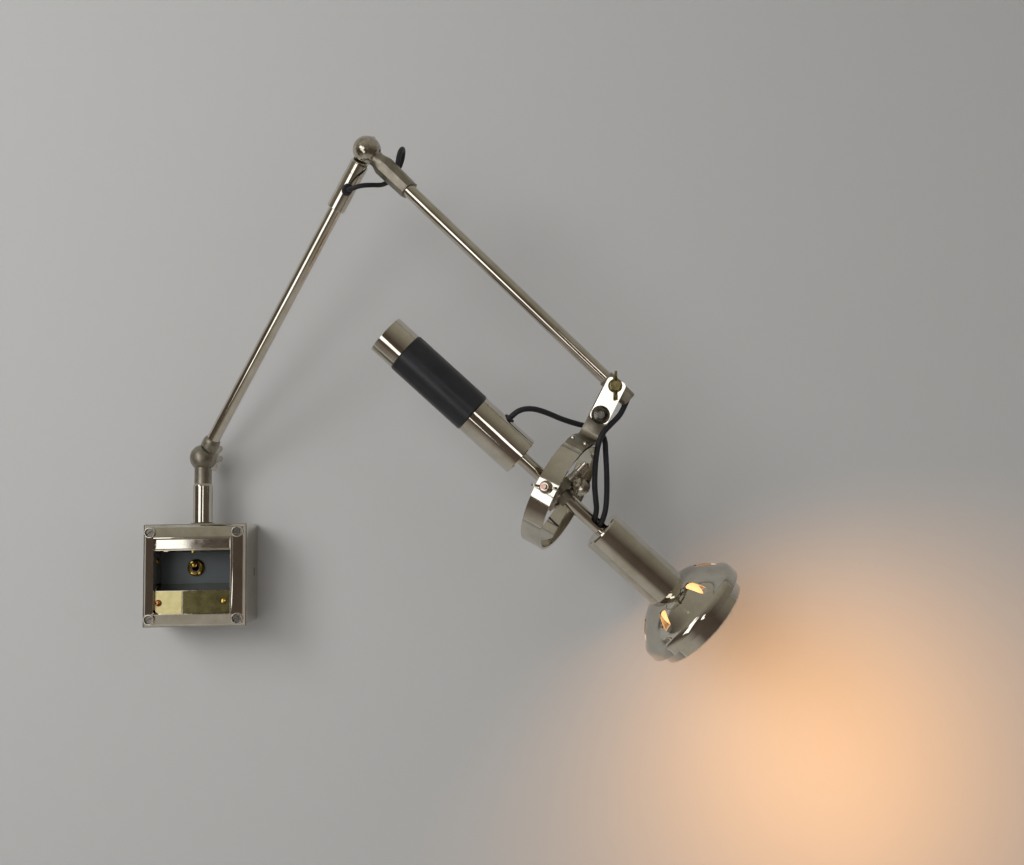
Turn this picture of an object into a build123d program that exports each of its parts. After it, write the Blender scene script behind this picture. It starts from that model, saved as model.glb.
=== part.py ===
from build123d import *
import math
import os

# Articulating wall lamp. Millimetres. The wall is the plane Y = 0 and the lamp stands out towards -Y.
# X runs to the right along the wall and Z runs up. The origin is the centre of the box's back face.

os.makedirs("parts", exist_ok=True)

# ---------------------------------------------------------------- driving dimensions
fit_gap = 0.05            # radial running clearance of a shaft in its bore
face_gap = 0.1            # half of the gap between two faces that turn on each other
seat_gap = 0.3            # gap between loose neighbours

box_width = 99.0          # wall box, square, with its open side to the front
box_depth = 57.0
box_wall = 2.0
flange_width = 100.0      # front frame
flange_thickness = 3.0
frame_rise = 8.0          # height of the frame's sloping sides over its flange
ridge_width = 88.0        # outside of the frame's front ridge
window_width = 76.0
window_height = 74.0
window_corner = 5.0
boss_pitch = 84.0         # corner screw bosses
boss_diameter = 11.4
frame_screw_head = 7.6
frame_screw_shank = 4.0
frame_screw_length = 30.0

keyhole_pitch = 60.0      # wall fixing slots in the box's back
wall_screw_diameter = 4.5
cable_entry_diameter = 16.0
side_slot_height = 8.0
side_slot_width = 2.4

post_out = 30.0           # distance of the post's axis from the wall
post_diameter = 19.2
post_top = 90.5
post_neck_diameter = 17.0
bush_flange_diameter = 25.0
bush_diameter = 22.0
post_spigot_diameter = 14.0
knuckle_height = 117.0    # centre of the lower knuckle

ball_diameter = 26.5      # both knuckles
nut_seat = 10.5           # distance of a knuckle's nut seat from its hinge plane
clamp_bolt_diameter = 6.0
wing_span = 27.0
wing_height = 11.0

tube_diameter = 13.0      # both arms and the head
tube_wall = 1.2
arm1_length = 352.0       # knuckle centre to knuckle centre
arm2_length = 318.0       # elbow centre to bracket bolt
ferrule_diameter = 17.4
ferrule_end = 24.0
sleeve_diameter = 17.6
sleeve_length = 49.0
sleeve_top = 13.5         # distance of the sleeve's top from the elbow's centre
spigot_length = 34.0      # arm 1 tube inside the sleeve
socket_start = 12.0
socket_end = 58.0
socket_width = 18.4

plate_length = 42.5       # bracket plates
plate_width = 18.2
plate_thickness = 2.5
bolt_pitch = 30.0         # bracket bolt to stem screw
bolt_edge = 6.0
end_block_diameter = 15.6
end_block_length = 30.0
end_block_reach = 19.0    # how far the end of arm 2 stands past the bracket bolt

stem_reach = 81.0         # stem screw to ring centre
stem_width = 18.4
stem_thickness = 4.0
stem_screw_head = 17.4
ring_radius = 53.0        # middle of the ring's strip
ring_strip = 2.5
ring_width = 19.5
saddle_angle = 38.0
saddle_thickness = 2.2
rivet_angle = 26.0
rivet_pitch = 13.0

eye_radius = 16.0         # gimbal eye round the head tube
eye_bore = 12.0
eye_width = 10.0
trunnion_arm_diameter = 9.0
trunnion_bolt_diameter = 5.0
pin_boss_top = 26.0
swivel_pin_diameter = 4.0
knurled_nut_diameter = 9.6
knurled_nut_height = 10.0
lock_head_diameter = 17.4
lock_shank_diameter = 5.0
clamp_sleeve_diameter = 16.0
clamp_sleeve_length = 20.0

head_end = -220.4         # stations along the head tube, from the ring's centre
grip_start = -193.9
body_start = -109.7
body_end = -49.3
neck_start = 51.0
neck_end = 134.5
dome_end = 170.0
rim_end = 182.0
handle_diameter = 38.6
grip_diameter = 39.6
neck_diameter = 39.4
shade_diameter = 112.6
rim_diameter = 97.2
shade_wall = 1.2
cord_exit = -81.4
cord_diameter = 5.2
elbow_cord_diameter = 4.4
grommet_station = 39.6    # grommet in the elbow sleeve, from the elbow's centre
cord_slot = 43.5          # slot in the head tube where both cords go in

# rest pose, degrees
arm_swing = 35.0          # arm 1 out from the wall
arm_rise = 51.8           # arm 1 up from level
elbow_turn = 26.3
elbow_bend = 101.4
bracket_turn = -15.9
bracket_tilt = -16.7
stem_twist = -17.6
gimbal_tilt = 16.2
gimbal_turn = 19.0


# ---------------------------------------------------------------- frames
# A frame's X runs along its arm, its Y is the hinge axis, towards the wall, and its Z points up.
def turned(x=0, y=0, z=0):
    return Location((0, 0, 0), (x, y, z))


post_frame = Location((0, -post_out, 0))
lower_frame = Location((0, -post_out, knuckle_height))
arm1_frame = lower_frame * turned(z=-arm_swing) * turned(y=-arm_rise)
post_knuckle_frame = lower_frame * turned(z=-arm_swing) * turned(y=90)
elbow_frame = arm1_frame * Location((arm1_length, 0, 0)) * turned(x=elbow_turn)
arm2_frame = elbow_frame * turned(y=elbow_bend)
arm2_end_frame = arm2_frame * Location((arm2_length, 0, 0)) * turned(x=bracket_turn)
bracket_frame = arm2_end_frame * turned(y=bracket_tilt)
stem_frame = bracket_frame * Location((0, 0, -bolt_pitch))
ring_frame = stem_frame * Location((0, 0, -stem_reach)) * turned(z=stem_twist)
eye_frame = ring_frame * turned(y=gimbal_tilt)
head_frame = eye_frame * turned(z=gimbal_turn)


def flat(frame, x=0, y=0, z=0):
    """Drawing plane square to the frame's Z."""
    return Plane(frame * Location((x, y, z)))


def front(frame, x=0, y=0, z=0):
    """Drawing plane seen from the front: its normal is -Y, its own X and Y are the frame's X and Z."""
    return Plane(frame * Location((x, y, z), (90, 0, 0)))


def end_on(frame, x=0, y=0, z=0):
    """Drawing plane square to the frame's X."""
    return Plane(frame * Location((x, y, z), (0, 90, 0)))


def along(frame):
    """The frame's X axis."""
    return Axis(Plane(frame).origin, Plane(frame).x_dir)


def up_from(frame):
    """The frame's Z axis."""
    return Axis(Plane(frame).origin, Plane(frame).z_dir)


def rod(plane, length, diameter, bore=0.0, mode=Mode.ADD):
    """Straight round bar or tube standing on the plane."""
    with BuildSketch(plane) as section:
        Circle(diameter / 2)
        if bore:
            Circle(bore / 2, mode=Mode.SUBTRACT)
    extrude(section.sketch, amount=length, mode=mode)


def lathe(plane, axis, points, mode=Mode.ADD):
    """Turn a closed outline of straight lines about the axis."""
    with BuildSketch(plane) as outline:
        with BuildLine():
            Polyline(*points, close=True)
        make_face()
    revolve(outline.sketch, axis=axis, mode=mode)


def hinge(frame):
    """The frame's Y axis."""
    return Axis(Plane(frame).origin, Plane(frame).y_dir)


def across(frame, y=0):
    """Drawing plane square to the frame's Y, its normal along +Y; own X is the frame's X, own Y is -Z."""
    return Plane(frame * Location((0, y, 0), (-90, 0, 0)))


def knuckle_half(frame, side, outline):
    """Half of a ball joint on a round stem that runs along the frame's X. The other half is on this side of Y."""
    lathe(front(frame), along(frame), outline)
    # room for the other half, which is as round as the ball
    rod(across(frame, y=-side * face_gap), side * ball_diameter, ball_diameter + 2 * seat_gap, mode=Mode.SUBTRACT)


def ball_outline(stem_points):
    """Profile of a ball that runs into a stem, closed along the axis."""
    radius = ball_diameter / 2
    start = math.asin(stem_points[0][1] / radius)
    arc = [(-radius * math.cos(a), radius * math.sin(a)) for a in
           [i * (math.pi - start) / 14 for i in range(15)]]
    return arc + stem_points[1:] + [(stem_points[-1][0], 0)]


def nut_bore(diameter):
    return diameter + 2 * fit_gap


def wing_nut(frame, bolt, span=wing_span, height=wing_height):
    """Two ears on a waisted hub, standing on the frame's XZ plane and pointing along +Y."""
    hub = bolt / 2 + 2.6
    lathe(flat(frame), hinge(frame), [(0, 0), (hub + 0.9, 0), (hub + 0.9, 1.4), (hub, 2.2), (hub - 0.9, 0.7 * height),
                                      (hub - 1.5, 0.76 * height), (0, 0.76 * height)])
    with BuildSketch(flat(frame, z=-1.1)) as ears:
        for side in (-1, 1):
            with BuildLine():
                Polyline((side * (hub - 1.6), 1.2), (side * (hub + 1.2), 1.6), (side * (span / 2 - 0.4), height - 4.2),
                         (side * (span / 2 - 4.6), height - 0.4), (side * (hub - 1.6), 0.62 * height), close=True)
            make_face()
            with Locations((side * (span / 2 - 3.1), height - 2.9)):
                Circle(3.1)
    extrude(ears.sketch, amount=2.2)
    rod(across(frame, y=-1), height + 4, nut_bore(bolt), mode=Mode.SUBTRACT)


def bend_radii(points):
    """As large as each corner's two runs allow."""
    radii = []
    for before, corner, after in zip(points, points[1:], points[2:]):
        turn = (corner - before).get_angle(after - corner)
        shorter = min((corner - before).length, (after - corner).length)
        radii.append(0.45 * shorter / math.tan(math.radians(turn / 2)))
    return radii


def route(frame, points):
    return [Plane(frame).from_local_coords(Vector(*point)) for point in points]


def cord(name, points, diameter):
    radii = bend_radii(points)
    with BuildLine() as path:
        FilletPolyline(*points, radius=radii)
    with BuildSketch(Plane(origin=points[0], z_dir=points[1] - points[0])) as section:
        Circle(diameter / 2)
    sweep(section.sketch, path=path.line)
    print(name, "radii", [round(radius, 1) for radius in radii], "length", round(sum(edge.length for edge in path.edges()), 1))


def cord_pocket(start, toward, depth, diameter):
    """Round hole along a cord's first run, from the cord's end outwards."""
    rod(Plane(origin=start, z_dir=toward - start), depth, diameter, mode=Mode.SUBTRACT)


def save(part, name):
    part.part.label = name
    export_step(part.part, f"parts/{name}.step")


# ---------------------------------------------------------------- cord routes
# out of the grommet on the elbow's sleeve, behind the socket and back into its rear
elbow_route = route(arm2_frame, [
    (10.8, -6.3, -38.6), (13.5, -12.9, -37.1), (16.8, -17.6, -31.9), (21.1, -17.0, -24.5),
    (27.0, -8.8, -18.3), (30.2, 1.4, -15.6), (31.0, 12.0, -11.9), (29.6, 22.6, -7.2),
    (27.0, 31.8, -1.3), (23.8, 36.6, 6.0), (20.4, 36.0, 13.6), (18.4, 30.6, 18.8),
    (18.4, 23.0, 20.2), (20.6, 15.2, 18.2), (25.0, 9.0, 13.3), (30.2, 6.1, 7.1),
])
# out of the end of arm 2, down past the ring's strap and into the head tube
head_route = route(ring_frame, [
    (15.4, 5.3, 105.6),
    (16.5, 3.6, 97.1),
    (16.6, 1.5, 87.9),
    (13.7, -1.5, 77.3),
    (11.1, -4.4, 66.6),
    (12.7, -6.0, 55.7),
    (16.5, -5.8, 44.1),
    (21.4, -5.3, 32.3),
    (26.9, -3.6, 20.2),
    (33.0, -0.2, 9.5),
    (37.4, 4.9, 1.2),
    (38.5, 11.8, -8.5),
])
# up from the handle, behind the strap and down into the same slot
handle_route = route(head_frame, [
    (cord_exit, 0.0, 16.5),
    (cord_exit, 0.0, 25.5),
    (-78.4, 1.0, 34.0),
    (-70.6, 4.0, 41.2),
    (-58.2, 8.6, 46.6),
    (-43.9, 14.2, 51.0),
    (-30.2, 20.4, 56.9),
    (-20.0, 22.2, 62.7),
    (-12.2, 19.8, 65.5),
    (-5.8, 15.5, 65.6),
    (-0.7, 10.5, 62.6),
    (3.2, 5.6, 56.1),
    (9.4, 2.5, 45.6),
    (17.7, 0.3, 34.6),
    (26.2, -1.4, 25.6),
    (35.6, -2.4, 18.4),
    (43.4, -2.9, 10.4),
    (47.8, -1.3, 2.2),
])
pocket_gap = 0.2          # round a cord in its hole

# ---------------------------------------------------------------- wall box
box_front = -box_depth

with BuildPart() as wall_box:
    with BuildSketch(front(Location())):
        RectangleRounded(box_width, box_width, 3)
    extrude(amount=box_depth)
    offset(amount=-box_wall, openings=wall_box.faces().sort_by(Axis.Y)[0])
    # corner posts that take the frame screws
    with BuildSketch(front(Location(), y=-box_wall)):
        with GridLocations(boss_pitch, boss_pitch, 2, 2):
            Circle(4.8)
            Circle(frame_screw_shank / 2 + fit_gap, mode=Mode.SUBTRACT)
    extrude(amount=box_depth - box_wall)
    # keyhole slots and the cable entry in the back
    with BuildSketch(front(Location())):
        with Locations((-keyhole_pitch / 2, 0), (keyhole_pitch / 2, 0)):
            Circle(wall_screw_diameter / 2)
        with Locations((0, -20)):
            Circle(cable_entry_diameter / 2)
    extrude(amount=box_wall, mode=Mode.SUBTRACT)
    # bush hole in the top
    rod(flat(post_frame, z=box_width / 2 - 2 * box_wall), 3 * box_wall, bush_diameter, mode=Mode.SUBTRACT)
    # slot in the right side
    with BuildSketch(end_on(Location((box_width / 2 - 2 * box_wall, -18, 1)))):
        Rectangle(side_slot_height, side_slot_width)
    extrude(amount=3 * box_wall, mode=Mode.SUBTRACT)
save(wall_box, "wall_box")

with BuildPart() as front_frame:
    with BuildSketch(front(Location(), y=box_front)):
        RectangleRounded(flange_width, flange_width, 3)
    extrude(amount=flange_thickness)
    with BuildSketch(front(Location(), y=box_front - flange_thickness)):
        RectangleRounded(flange_width - 2, flange_width - 2, 3)
    with BuildSketch(front(Location(), y=box_front - flange_thickness - frame_rise)):
        RectangleRounded(ridge_width, ridge_width, 5)
    loft()
    # the window flares towards the ridge
    with BuildSketch(front(Location(), y=box_front)):
        RectangleRounded(window_width, window_height, window_corner)
    with BuildSketch(front(Location(), y=box_front - flange_thickness - frame_rise)):
        RectangleRounded(window_width + 4, window_height + 4, window_corner + 2)
    loft(mode=Mode.SUBTRACT)
    # raised screw bosses, each with a ridge to the window's corner
    with BuildSketch(front(Location(), y=box_front)):
        with GridLocations(boss_pitch, boss_pitch, 2, 2):
            Circle(boss_diameter / 2)
        with PolarLocations(0.46 * boss_pitch * math.sqrt(2), 4, start_angle=45):
            Rectangle(16, 3)
    extrude(amount=flange_thickness + frame_rise + 1.5)
    with BuildSketch(front(Location(), y=box_front)):
        RectangleRounded(window_width, window_height, window_corner)
    extrude(amount=flange_thickness + frame_rise + 2, mode=Mode.SUBTRACT)
    # screw holes with deep counterbores
    with BuildSketch(front(Location(), y=box_front)):
        with GridLocations(boss_pitch, boss_pitch, 2, 2):
            Circle(frame_screw_shank / 2 + 0.3)
    extrude(amount=20, mode=Mode.SUBTRACT)
    with BuildSketch(front(Location(), y=box_front - flange_thickness - 4)):
        with GridLocations(boss_pitch, boss_pitch, 2, 2):
            Circle(frame_screw_head / 2 + 0.2)
    extrude(amount=20, mode=Mode.SUBTRACT)
save(front_frame, "front_frame")

with BuildPart() as frame_screws:
    for column in (-1, 1):
        for row in (-1, 1):
            seat = Location((column * boss_pitch / 2, 0, row * boss_pitch / 2))
            rod(front(seat, y=box_front - flange_thickness - 4), 3.2, frame_screw_head)
            rod(front(seat, y=box_front - flange_thickness - 4 + frame_screw_length), frame_screw_length,
                frame_screw_shank)
            with BuildSketch(front(seat, y=box_front - flange_thickness - 6)):
                Rectangle(9, 1.1, rotation=35)
            extrude(amount=3, mode=Mode.SUBTRACT)
save(frame_screws, "frame_screws")

# ---------------------------------------------------------------- what shows in the window
strip_y = box_front - 4.0
strip_z = 29.0
panel_y = -34.0
panel_width = 79.0
panel_height = 33.0
panel_z = 6.5
panel_thickness = 2.0
cheek = panel_width / 2 + 0.4
cheek_back = panel_y + 3.0
cheek_front = box_front + 1.0
toggle_x = -5.0
toggle_z = 6.5
ring_nut_diameter = 17.0
ring_nut_bore = 9.6
hood_front = box_front - 5.0
hood_z = -14.8
brass_gap = 1.0
left_brass_width = 26.4
brass_screw_places = ((-34.0, -26.4), (29.0, -25.2))
hood_foot = -window_height / 2 + 0.4

with BuildPart() as name_strip:
    with BuildSketch(front(Location(), y=strip_y, z=strip_z)):
        RectangleRounded(window_width - 3, 10, 2)
    extrude(amount=1.5)
    # folded lip along the lower edge, and two cranked ears up to the box's top wall
    with BuildSketch(front(Location(), y=strip_y, z=strip_z - 4.4)):
        Rectangle(window_width - 8, 1.2)
    extrude(amount=-8)
    with BuildSketch(front(Location(), y=strip_y, z=strip_z + 4)):
        with Locations((-26, 0), (26, 0)):
            Rectangle(8, 1.2)
    extrude(amount=strip_y - box_front - 1.4)
    with BuildSketch(front(Location(), y=box_front + 1.4, z=(box_width / 2 - box_wall - seat_gap + strip_z + 3.4) / 2)):
        with Locations((-26, 0), (26, 0)):
            Rectangle(8, box_width / 2 - box_wall - seat_gap - strip_z - 3.4)
    extrude(amount=1.2)
    rod(flat(Location((-2.4, strip_y + 3.2, strip_z - 6))), 3, 3.0, mode=Mode.SUBTRACT)
save(name_strip, "name_strip")

with BuildPart() as switch_bracket:
    # a sheet bent to a U: two cheeks beside the window and a web behind the panel
    with BuildSketch(flat(Location((0, 0, panel_z)))):
        for side in (-1, 1):
            with Locations((side * (cheek + 0.75), (cheek_back + cheek_front) / 2)):
                Rectangle(1.5, cheek_back - cheek_front)
    extrude(amount=panel_height / 2 - 1.5, both=True)
    with BuildSketch(front(Location(), y=cheek_back, z=panel_z)):
        Rectangle(panel_width + 3.8, panel_height - 3)
        Rectangle(panel_width - 20, panel_height - 12, mode=Mode.SUBTRACT)
    extrude(amount=1.5)
    # lugs to the box's side walls
    lug = box_width / 2 - box_wall - cheek
    with BuildSketch(flat(Location((0, 0, panel_z + panel_height / 2 - 3.0)))):
        for side in (-1, 1):
            with Locations((side * (cheek + lug / 2), panel_y + 1)):
                Rectangle(lug, 6)
    extrude(amount=1.5)
    for side in (-1, 1):
        rod(end_on(Location((side * (cheek - 1), -47, 14))), side * 4, 3.0, mode=Mode.SUBTRACT)
save(switch_bracket, "switch_bracket")

with BuildPart() as switch_panel:
    with BuildSketch(front(Location(), y=panel_y + 1.4, z=panel_z)):
        Rectangle(panel_width + 0.6, panel_height - 1)
        with Locations((toggle_x, toggle_z - panel_z)):
            Circle(6.0, mode=Mode.SUBTRACT)
    extrude(amount=panel_thickness)
save(switch_panel, "switch_panel")

switch_frame = Location((toggle_x, panel_y, toggle_z))

with BuildPart() as switch_body:
    with BuildSketch(front(switch_frame, y=16)):
        RectangleRounded(24, 20, 2)
    extrude(amount=14.5)
    rod(front(switch_frame, y=1.6), 5.5, 11.8)
    # bore and ball socket for the lever
    rod(front(switch_frame, y=10), 20, 7.0, mode=Mode.SUBTRACT)
save(switch_body, "switch_body")

with BuildPart() as switch_ring:
    lathe(Plane(switch_frame), Axis(Plane(switch_frame).origin, (0, 1, 0)),
          [(6.0, -0.7), (ring_nut_diameter / 2, -0.7), (ring_nut_diameter / 2, -2.2),
           (ring_nut_diameter / 2 - 1.6, -4.4), (ring_nut_bore / 2 + 1.1, -4.8), (ring_nut_bore / 2, -4.3),
           (ring_nut_bore / 2, -4.0), (6.0, -4.0)])
    # two spanner notches
    with BuildSketch(front(switch_frame, y=-3.6)):
        with PolarLocations(ring_nut_diameter / 2 - 1, 2, start_angle=125):
            Rectangle(4, 2.4)
    extrude(amount=2, mode=Mode.SUBTRACT)
save(switch_ring, "switch_ring")

toggle_pivot_depth = 4.0
toggle_rest_tilt = -12.0
toggle_frame = switch_frame * Location((0, toggle_pivot_depth, 0)) * turned(x=toggle_rest_tilt)
with BuildPart() as toggle_lever:
    lathe(Plane(toggle_frame), Axis(Plane(toggle_frame).origin, -Plane(toggle_frame).y_dir),
          [(0, 3), (2.2, 2.6), (2.4, 0), (1.5, -2.4), (1.6, -8), (2.5, -13), (2.3, -15.2), (1.2, -16.2), (0, -16.4)])
save(toggle_lever, "toggle_lever")

with BuildPart() as terminal_hood:
    # chromed hood: upright front, sloping top towards the switch panel, open behind
    with BuildSketch(Plane.YZ.offset(-window_width / 2 - 1)):
        with BuildLine():
            Polyline((hood_front, hood_foot), (hood_front, hood_z), (panel_y - 1.2, hood_z + 5.2),
                     (panel_y - 1.2, hood_z + 3.7), (hood_front + 2, hood_z - 1.5), (hood_front + 2, hood_foot + 1.5),
                     (box_front + 2.0, hood_foot + 1.5), (box_front + 2.0, -box_width / 2 + box_wall + seat_gap),
                     (box_front + 0.5, -box_width / 2 + box_wall + seat_gap), (box_front + 0.5, hood_foot), close=True)
        make_face()
    extrude(amount=window_width + 2)
    # clear of the window's edges and corners
    with BuildSketch(front(Location(), y=box_front + 0.3)):
        Rectangle(box_width, box_width)
        RectangleRounded(window_width - 2 * seat_gap, window_height - 2 * seat_gap, window_corner, mode=Mode.SUBTRACT)
    extrude(amount=12, mode=Mode.SUBTRACT)
    for side in (-1, 1):
        with BuildSketch(front(Location(), y=box_front + 4, z=-box_width / 2 + 8)):
            with Locations((side * (boss_pitch / 2 + 2), 0)):
                Rectangle(16, 16)
        extrude(amount=3.7, mode=Mode.SUBTRACT)
    # screw posts behind the plates
    with BuildSketch(front(Location(), y=hood_front + 4)):
        with Locations(*brass_screw_places):
            Circle(3.6)
    extrude(amount=3)
    with BuildSketch(front(Location(), y=hood_front + 6)):
        with Locations(*brass_screw_places):
            Circle(1.6)
    extrude(amount=8, mode=Mode.SUBTRACT)
save(terminal_hood, "terminal_hood")

with BuildPart() as terminal_plates:
    with BuildSketch(front(Location(), y=hood_front)):
        RectangleRounded(window_width - 0.4, window_height - 0.4, window_corner + 0.5)
        with Locations((0, (window_height / 2 + hood_z) / 2)):
            Rectangle(window_width + 2, window_height / 2 - hood_z + 0.6, mode=Mode.SUBTRACT)
        with Locations((-window_width / 2 + left_brass_width + brass_gap / 2, -window_height / 2)):
            Rectangle(brass_gap, window_height, mode=Mode.SUBTRACT)
        with Locations(*brass_screw_places):
            Circle(1.6, mode=Mode.SUBTRACT)
    extrude(amount=1.6)
save(terminal_plates, "terminal_plates")

with BuildPart() as terminal_screws:
    for x, z in brass_screw_places:
        seat = Location((x, hood_front - 1.6, z))
        lathe(Plane(seat), Axis(Plane(seat).origin, (0, -1, 0)),
              [(0, 0), (3.3, 0), (3.1, -0.9), (2.1, -2.0), (0, -2.5)])
        rod(front(seat, y=1.6), 1.6, 3.1)
save(terminal_screws, "terminal_screws")

with BuildPart() as brass_screws:
    # cheese-head screws: one under the name strip, one in each cheek of the bracket
    for seat, turn in ((Location((-2.4, strip_y + 3.2, strip_z - 5.0)), turned(x=180)),
                       (Location((-cheek, -47, 14)), turned(y=90)), (Location((cheek, -47, 14)), turned(y=-90))):
        rod(Plane(seat * turn), 2.0, 5.0)
        rod(Plane(seat * turn * Location((0, 0, -2.6))), 2.6, 3.0)
save(brass_screws, "brass_screws")

# ---------------------------------------------------------------- post
box_top = box_width / 2

with BuildPart() as post_bush:
    lathe(front(post_frame), up_from(post_frame),
          [(post_spigot_diameter / 2 + fit_gap, box_top - 12), (bush_diameter / 2 - 0.1, box_top - 12),
           (bush_diameter / 2 - 0.1, box_top), (bush_flange_diameter / 2, box_top),
           (bush_flange_diameter / 2 - 1.5, box_top + 1.6), (post_spigot_diameter / 2 + fit_gap, box_top + 1.6)])
save(post_bush, "post_bush")

sleeve_base = box_top + 1.6 + face_gap
nut_top = box_top - 12 - face_gap

with BuildPart() as post_sleeve:
    lathe(front(post_frame), up_from(post_frame),
          [(post_spigot_diameter / 2, sleeve_base), (post_diameter / 2 - 0.6, sleeve_base),
           (post_diameter / 2, sleeve_base + 0.6), (post_diameter / 2, post_top - 2.4),
           (post_diameter / 2 - 0.3, post_top - 1.2), (post_neck_diameter / 2, post_top),
           (post_spigot_diameter / 2, post_top)])
save(post_sleeve, "post_sleeve")

with BuildPart() as post_knuckle:
    knuckle_half(post_knuckle_frame, 1, ball_outline(
        [(0, post_neck_diameter / 2), (knuckle_height - post_top, post_neck_diameter / 2),
         (knuckle_height - post_top, post_spigot_diameter / 2), (knuckle_height - 31, post_spigot_diameter / 2)]))
    # blind seat of the clamp bolt
    rod(across(post_knuckle_frame, y=-9), 12, clamp_bolt_diameter, mode=Mode.SUBTRACT)
save(post_knuckle, "post_knuckle")

with BuildPart() as post_nut:
    with BuildSketch(flat(post_frame, z=nut_top)) as section:
        RegularPolygon(11, 6)
        Circle(post_spigot_diameter / 2, mode=Mode.SUBTRACT)
    extrude(section.sketch, amount=-5)
save(post_nut, "post_nut")

nut_stand = nut_seat + face_gap

with BuildPart() as lower_bolt:
    rod(across(post_knuckle_frame, y=-9), 9 + nut_stand + wing_height + 2, clamp_bolt_diameter)
save(lower_bolt, "lower_bolt")

lower_nut_frame = post_knuckle_frame * Location((0, nut_stand, 0)) * turned(y=20)
with BuildPart() as lower_wing_nut:
    wing_nut(lower_nut_frame, clamp_bolt_diameter)
save(lower_wing_nut, "lower_wing_nut")

# ---------------------------------------------------------------- arm 1
with BuildPart() as arm1_knuckle:
    knuckle_half(arm1_frame, -1, ball_outline(
        [(0, 8.2), (14.5, ferrule_diameter / 2), (ferrule_end - 4, ferrule_diameter / 2 - 0.2),
         (ferrule_end - 1, tube_diameter / 2 + 1.1), (ferrule_end, tube_diameter / 2)]))
    # spot face and bore for the bolt, and the tube's socket
    rod(across(arm1_frame, y=nut_seat), 6, ball_diameter, mode=Mode.SUBTRACT)
    rod(across(arm1_frame), 20, nut_bore(clamp_bolt_diameter), mode=Mode.SUBTRACT)
    rod(end_on(arm1_frame, x=15), 12, tube_diameter, mode=Mode.SUBTRACT)
save(arm1_knuckle, "arm1_knuckle")

arm1_tube_end = arm1_length - sleeve_top - sleeve_length + spigot_length
with BuildPart() as arm1_tube:
    rod(end_on(arm1_frame, x=15), arm1_tube_end - 15, tube_diameter, tube_diameter - 2 * tube_wall)
    # slot behind the grommet, wide enough for the elbow's swivel
    with BuildSketch(flat(arm1_frame, x=arm1_length - grommet_station, z=-tube_diameter)) as section:
        with Locations((0, -tube_diameter / 2)):
            Rectangle(13, tube_diameter - 1)
    extrude(section.sketch, amount=2 * tube_diameter, mode=Mode.SUBTRACT)
save(arm1_tube, "arm1_tube")

# ---------------------------------------------------------------- elbow
# this frame's X runs down the sleeve, back towards arm 1
sleeve_frame = elbow_frame * turned(y=180)
grommet_turn = -24.5
grommet_frame = sleeve_frame * turned(x=grommet_turn)

with BuildPart() as elbow_rear_half:
    knuckle_half(sleeve_frame, -1, ball_outline(
        [(0, 7.4), (sleeve_top, 7.4), (sleeve_top, tube_diameter / 2 + fit_gap),
         (sleeve_top + 12, tube_diameter / 2 + fit_gap)]))
    rod(across(sleeve_frame, y=nut_seat), 6, ball_diameter, mode=Mode.SUBTRACT)
    rod(across(sleeve_frame), 20, nut_bore(clamp_bolt_diameter), mode=Mode.SUBTRACT)
save(elbow_rear_half, "elbow_rear_half")

with BuildPart() as elbow_sleeve:
    lathe(front(sleeve_frame), along(sleeve_frame),
          [(sleeve_top, tube_diameter / 2 + fit_gap), (sleeve_top, sleeve_diameter / 2 - 1.2),
           (sleeve_top + 1.2, sleeve_diameter / 2), (sleeve_top + 10.4, sleeve_diameter / 2),
           (sleeve_top + 10.7, sleeve_diameter / 2 - 0.4), (sleeve_top + 11.3, sleeve_diameter / 2 - 0.4),
           (sleeve_top + 11.6, sleeve_diameter / 2), (sleeve_top + sleeve_length - 0.6, sleeve_diameter / 2),
           (sleeve_top + sleeve_length, sleeve_diameter / 2 - 0.6),
           (sleeve_top + sleeve_length, tube_diameter / 2 + fit_gap)])
    # hole for the grommet, on the front
    with BuildSketch(Plane(grommet_frame * Location((grommet_station, 0, 0), (90, 0, 0)))) as section:
        SlotOverall(9.0, 7.0)
    extrude(section.sketch, amount=sleeve_diameter, mode=Mode.SUBTRACT)
save(elbow_sleeve, "elbow_sleeve")

with BuildPart() as sleeve_grommet:
    with BuildSketch(Plane(grommet_frame * Location((grommet_station, -7.0, 0), (90, 0, 0)))) as section:
        SlotOverall(9.0, 7.0)
    extrude(section.sketch, amount=3.6)
    with BuildSketch(Plane(grommet_frame * Location((grommet_station, -8.9, 0), (90, 0, 0)))) as section:
        SlotOverall(12.0, 9.6)
    extrude(section.sketch, amount=1.9)
    fillet(sleeve_grommet.faces().sort_by(Axis(Plane(grommet_frame).origin, -Plane(grommet_frame).y_dir))[-1].edges(), 1.0)
    cord_pocket(elbow_route[0] - (elbow_route[1] - elbow_route[0]), elbow_route[1], 24, elbow_cord_diameter + 2 * pocket_gap)
save(sleeve_grommet, "sleeve_grommet")

with BuildPart() as elbow_bolt:
    rod(across(arm2_frame, y=-9), 9 + nut_stand + wing_height + 2, clamp_bolt_diameter)
save(elbow_bolt, "elbow_bolt")

elbow_nut_frame = arm2_frame * Location((0, nut_stand, 0)) * turned(y=50)
with BuildPart() as elbow_wing_nut:
    wing_nut(elbow_nut_frame, clamp_bolt_diameter)
save(elbow_wing_nut, "elbow_wing_nut")

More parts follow.
